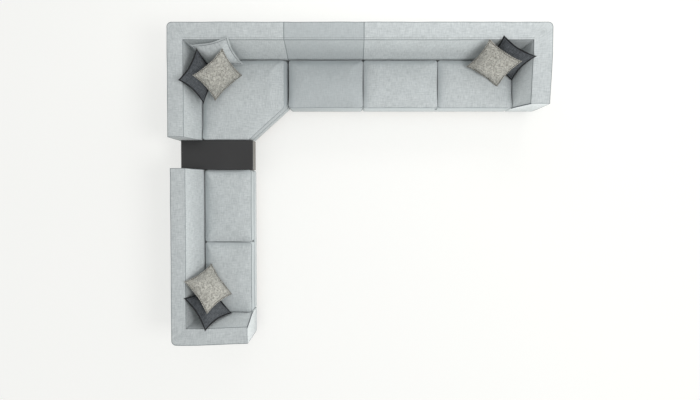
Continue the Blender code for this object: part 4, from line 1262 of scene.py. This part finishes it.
# Webbing: straps woven over and under each other, stapled to the base's rails
strapStyle = {"edge": 0.050, "width": 0.050, "pitch": 0.175, "thickness": 0.0014, "weave": 0.0011,
              "bendShare": 0.62, "overlap": 0.040, "step": 0.0125, "hem": 0.0016, "hemGap": 0.001,
              "hemShort": 0.006, "hemRadius": 0.012, "hemStep": 0.03, "skirtGap": 0.0003}


# A strap is a thin six-sided band. At each crossing its height steps up or down by a flat-topped bell
# curve, turn about, and a flat hem runs round the edge.
def buildWebbing(unit, corners):
    s = strapStyle
    node = unit + "_webbing"
    low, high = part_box(node)
    inner = insetCorners(corners, s["edge"])
    insideLow, insideHigh = inner.min(0), inner.max(0)
    count = np.maximum(1, np.ceil((insideHigh - insideLow) / s["pitch"])).astype(int)
    cell = (insideHigh - insideLow + s["width"]) / count
    centres = [insideLow[k] - s["width"] / 2 + np.arange(1, count[k]) * cell[k] for k in (0, 1)]
    skins = []
    for axis in (0, 1):
        for number, centre in enumerate(centres[axis]):
            ends = spanAt(inner, axis, centre, s["width"])
            begin, end = ends[0] - s["overlap"], ends[1] + s["overlap"]
            along = np.linspace(begin, end, max(3, ceil((end - begin) / s["step"])))
            height = np.full(len(along), (low.z + high.z) / 2)
            for k, place in enumerate(centres[1 - axis]):
                side = (1 if axis else -1) * (1 if (k + number) % 2 else -1)
                bend = np.exp(-((along - place) / (s["width"] * s["bendShare"])) ** 4)
                height += side * s["weave"] * bend
            across = centre + np.array([-1, -0.96, 0.96, 1, 0.96, -0.96]) * s["width"] / 2
            lift = np.array([0, 1, 1, 0, -1, -1]) * s["thickness"] / 2
            grid = np.zeros((len(along), 6, 3))
            grid[..., 1 - axis] = along[:, None]
            grid[..., axis] = across[None, :]
            grid[..., 2] = height[:, None] + lift[None, :]
            skins.append((grid, False))
    radii = [s["hemRadius"]] * len(corners)
    outline = planOutline(insetCorners(corners, s["hemGap"]), radii,
                          outlineSteps(corners, radii, s["hemStep"]))
    inward = -outwardOf(outline) * (s["edge"] - s["hemShort"])
    ring = np.stack([outline, outline + inward, outline + inward, outline], 1)
    skins.append((raised(ring, low.z + np.array([0, 0, s["hem"], s["hem"]])), True))
    piece = newPiece(unit.replace("_end", "End") + "Straps", *joinSkins(skins), [strapCloth], weld=1e-7)
    dress(piece, node)


# First and last place along a line through a convex outline, as wide as a strap
def spanAt(outline, axis, centre, width):
    spans = []
    for place in (centre - width / 2, centre + width / 2):
        hits = []
        for begin, end in zip(outline, np.roll(outline, -1, 0)):
            low, high = sorted((begin[axis], end[axis]))
            if low <= place <= high and high > low:
                share = (place - begin[axis]) / (end[axis] - begin[axis])
                hits.append(begin[1 - axis] + (end[1 - axis] - begin[1 - axis]) * share)
        if len(hits) > 1:
            spans.append((min(hits), max(hits)))
    return max(span[0] for span in spans), min(span[1] for span in spans)


buildWebbing("corner", insetCorners(cutCorners("corner_skirt"),
                                    skirtStyle["thickness"] + strapStyle["skirtGap"]))
for unit in ("single", "right_end", "left_end"):
    buildWebbing(unit, boxCorners(unit + "_webbing"))
print("straps woven")


# Feet: turned steel with a glide under the sole, a collar and a screwed plate at the top
footStyle = {"sole": 0.015, "top": 0.022, "plate": 0.030, "plateThickness": 0.004, "sides": 40,
             "sharpDegrees": 40}


# A profile of radius and height, with grooves and eased edges under 1 mm deep, turned round the foot's
# upright middle
def buildFoot(node):
    s = footStyle
    low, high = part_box(node)
    middle = np.array([(low.x + high.x) / 2, (low.y + high.y) / 2])
    height = high.z - low.z
    under = height - s["plateThickness"]
    sole, top, plate = s["sole"], s["top"], s["plate"]
    profile = np.array([
        (0.0, 0.0), (sole - 0.0012, 0.0), (sole - 0.0003, 0.0006), (sole, 0.0016), (sole, 0.004),
        (sole - 0.0008, 0.0046), (sole - 0.0008, 0.0056), (sole + 0.0004, 0.0064),
        (sole + (top - sole) * 0.5, under * 0.5), (top - 0.0004, under - 0.007), (top, under - 0.0055),
        (top - 0.0008, under - 0.004), (top - 0.0008, under - 0.002), (top, under),
        (plate - 0.0008, under), (plate, under + 0.0008), (plate, height - 0.0008),
        (plate - 0.0008, height), (0.0, height)])
    angle = np.linspace(0, 2 * pi, s["sides"], endpoint=False)
    ring = np.stack([np.cos(angle), np.sin(angle)], -1)
    grid = raised(middle + ring[None] * profile[:, None, :1], low.z + profile[:, 1:])
    name = node.replace("_end", "End").replace("_foot_", "Foot")
    piece = newPiece(name, grid, gridQuads(*grid.shape[:2], wrapColumns=True), [blackSteel], weld=2e-5)
    piece.data.set_sharp_from_angle(angle=radians(s["sharpDegrees"]))
    dress(piece, node)


for node in sorted(frame["nodes"]):
    if "_foot_" in node:
        buildFoot(node)
print("feet turned")
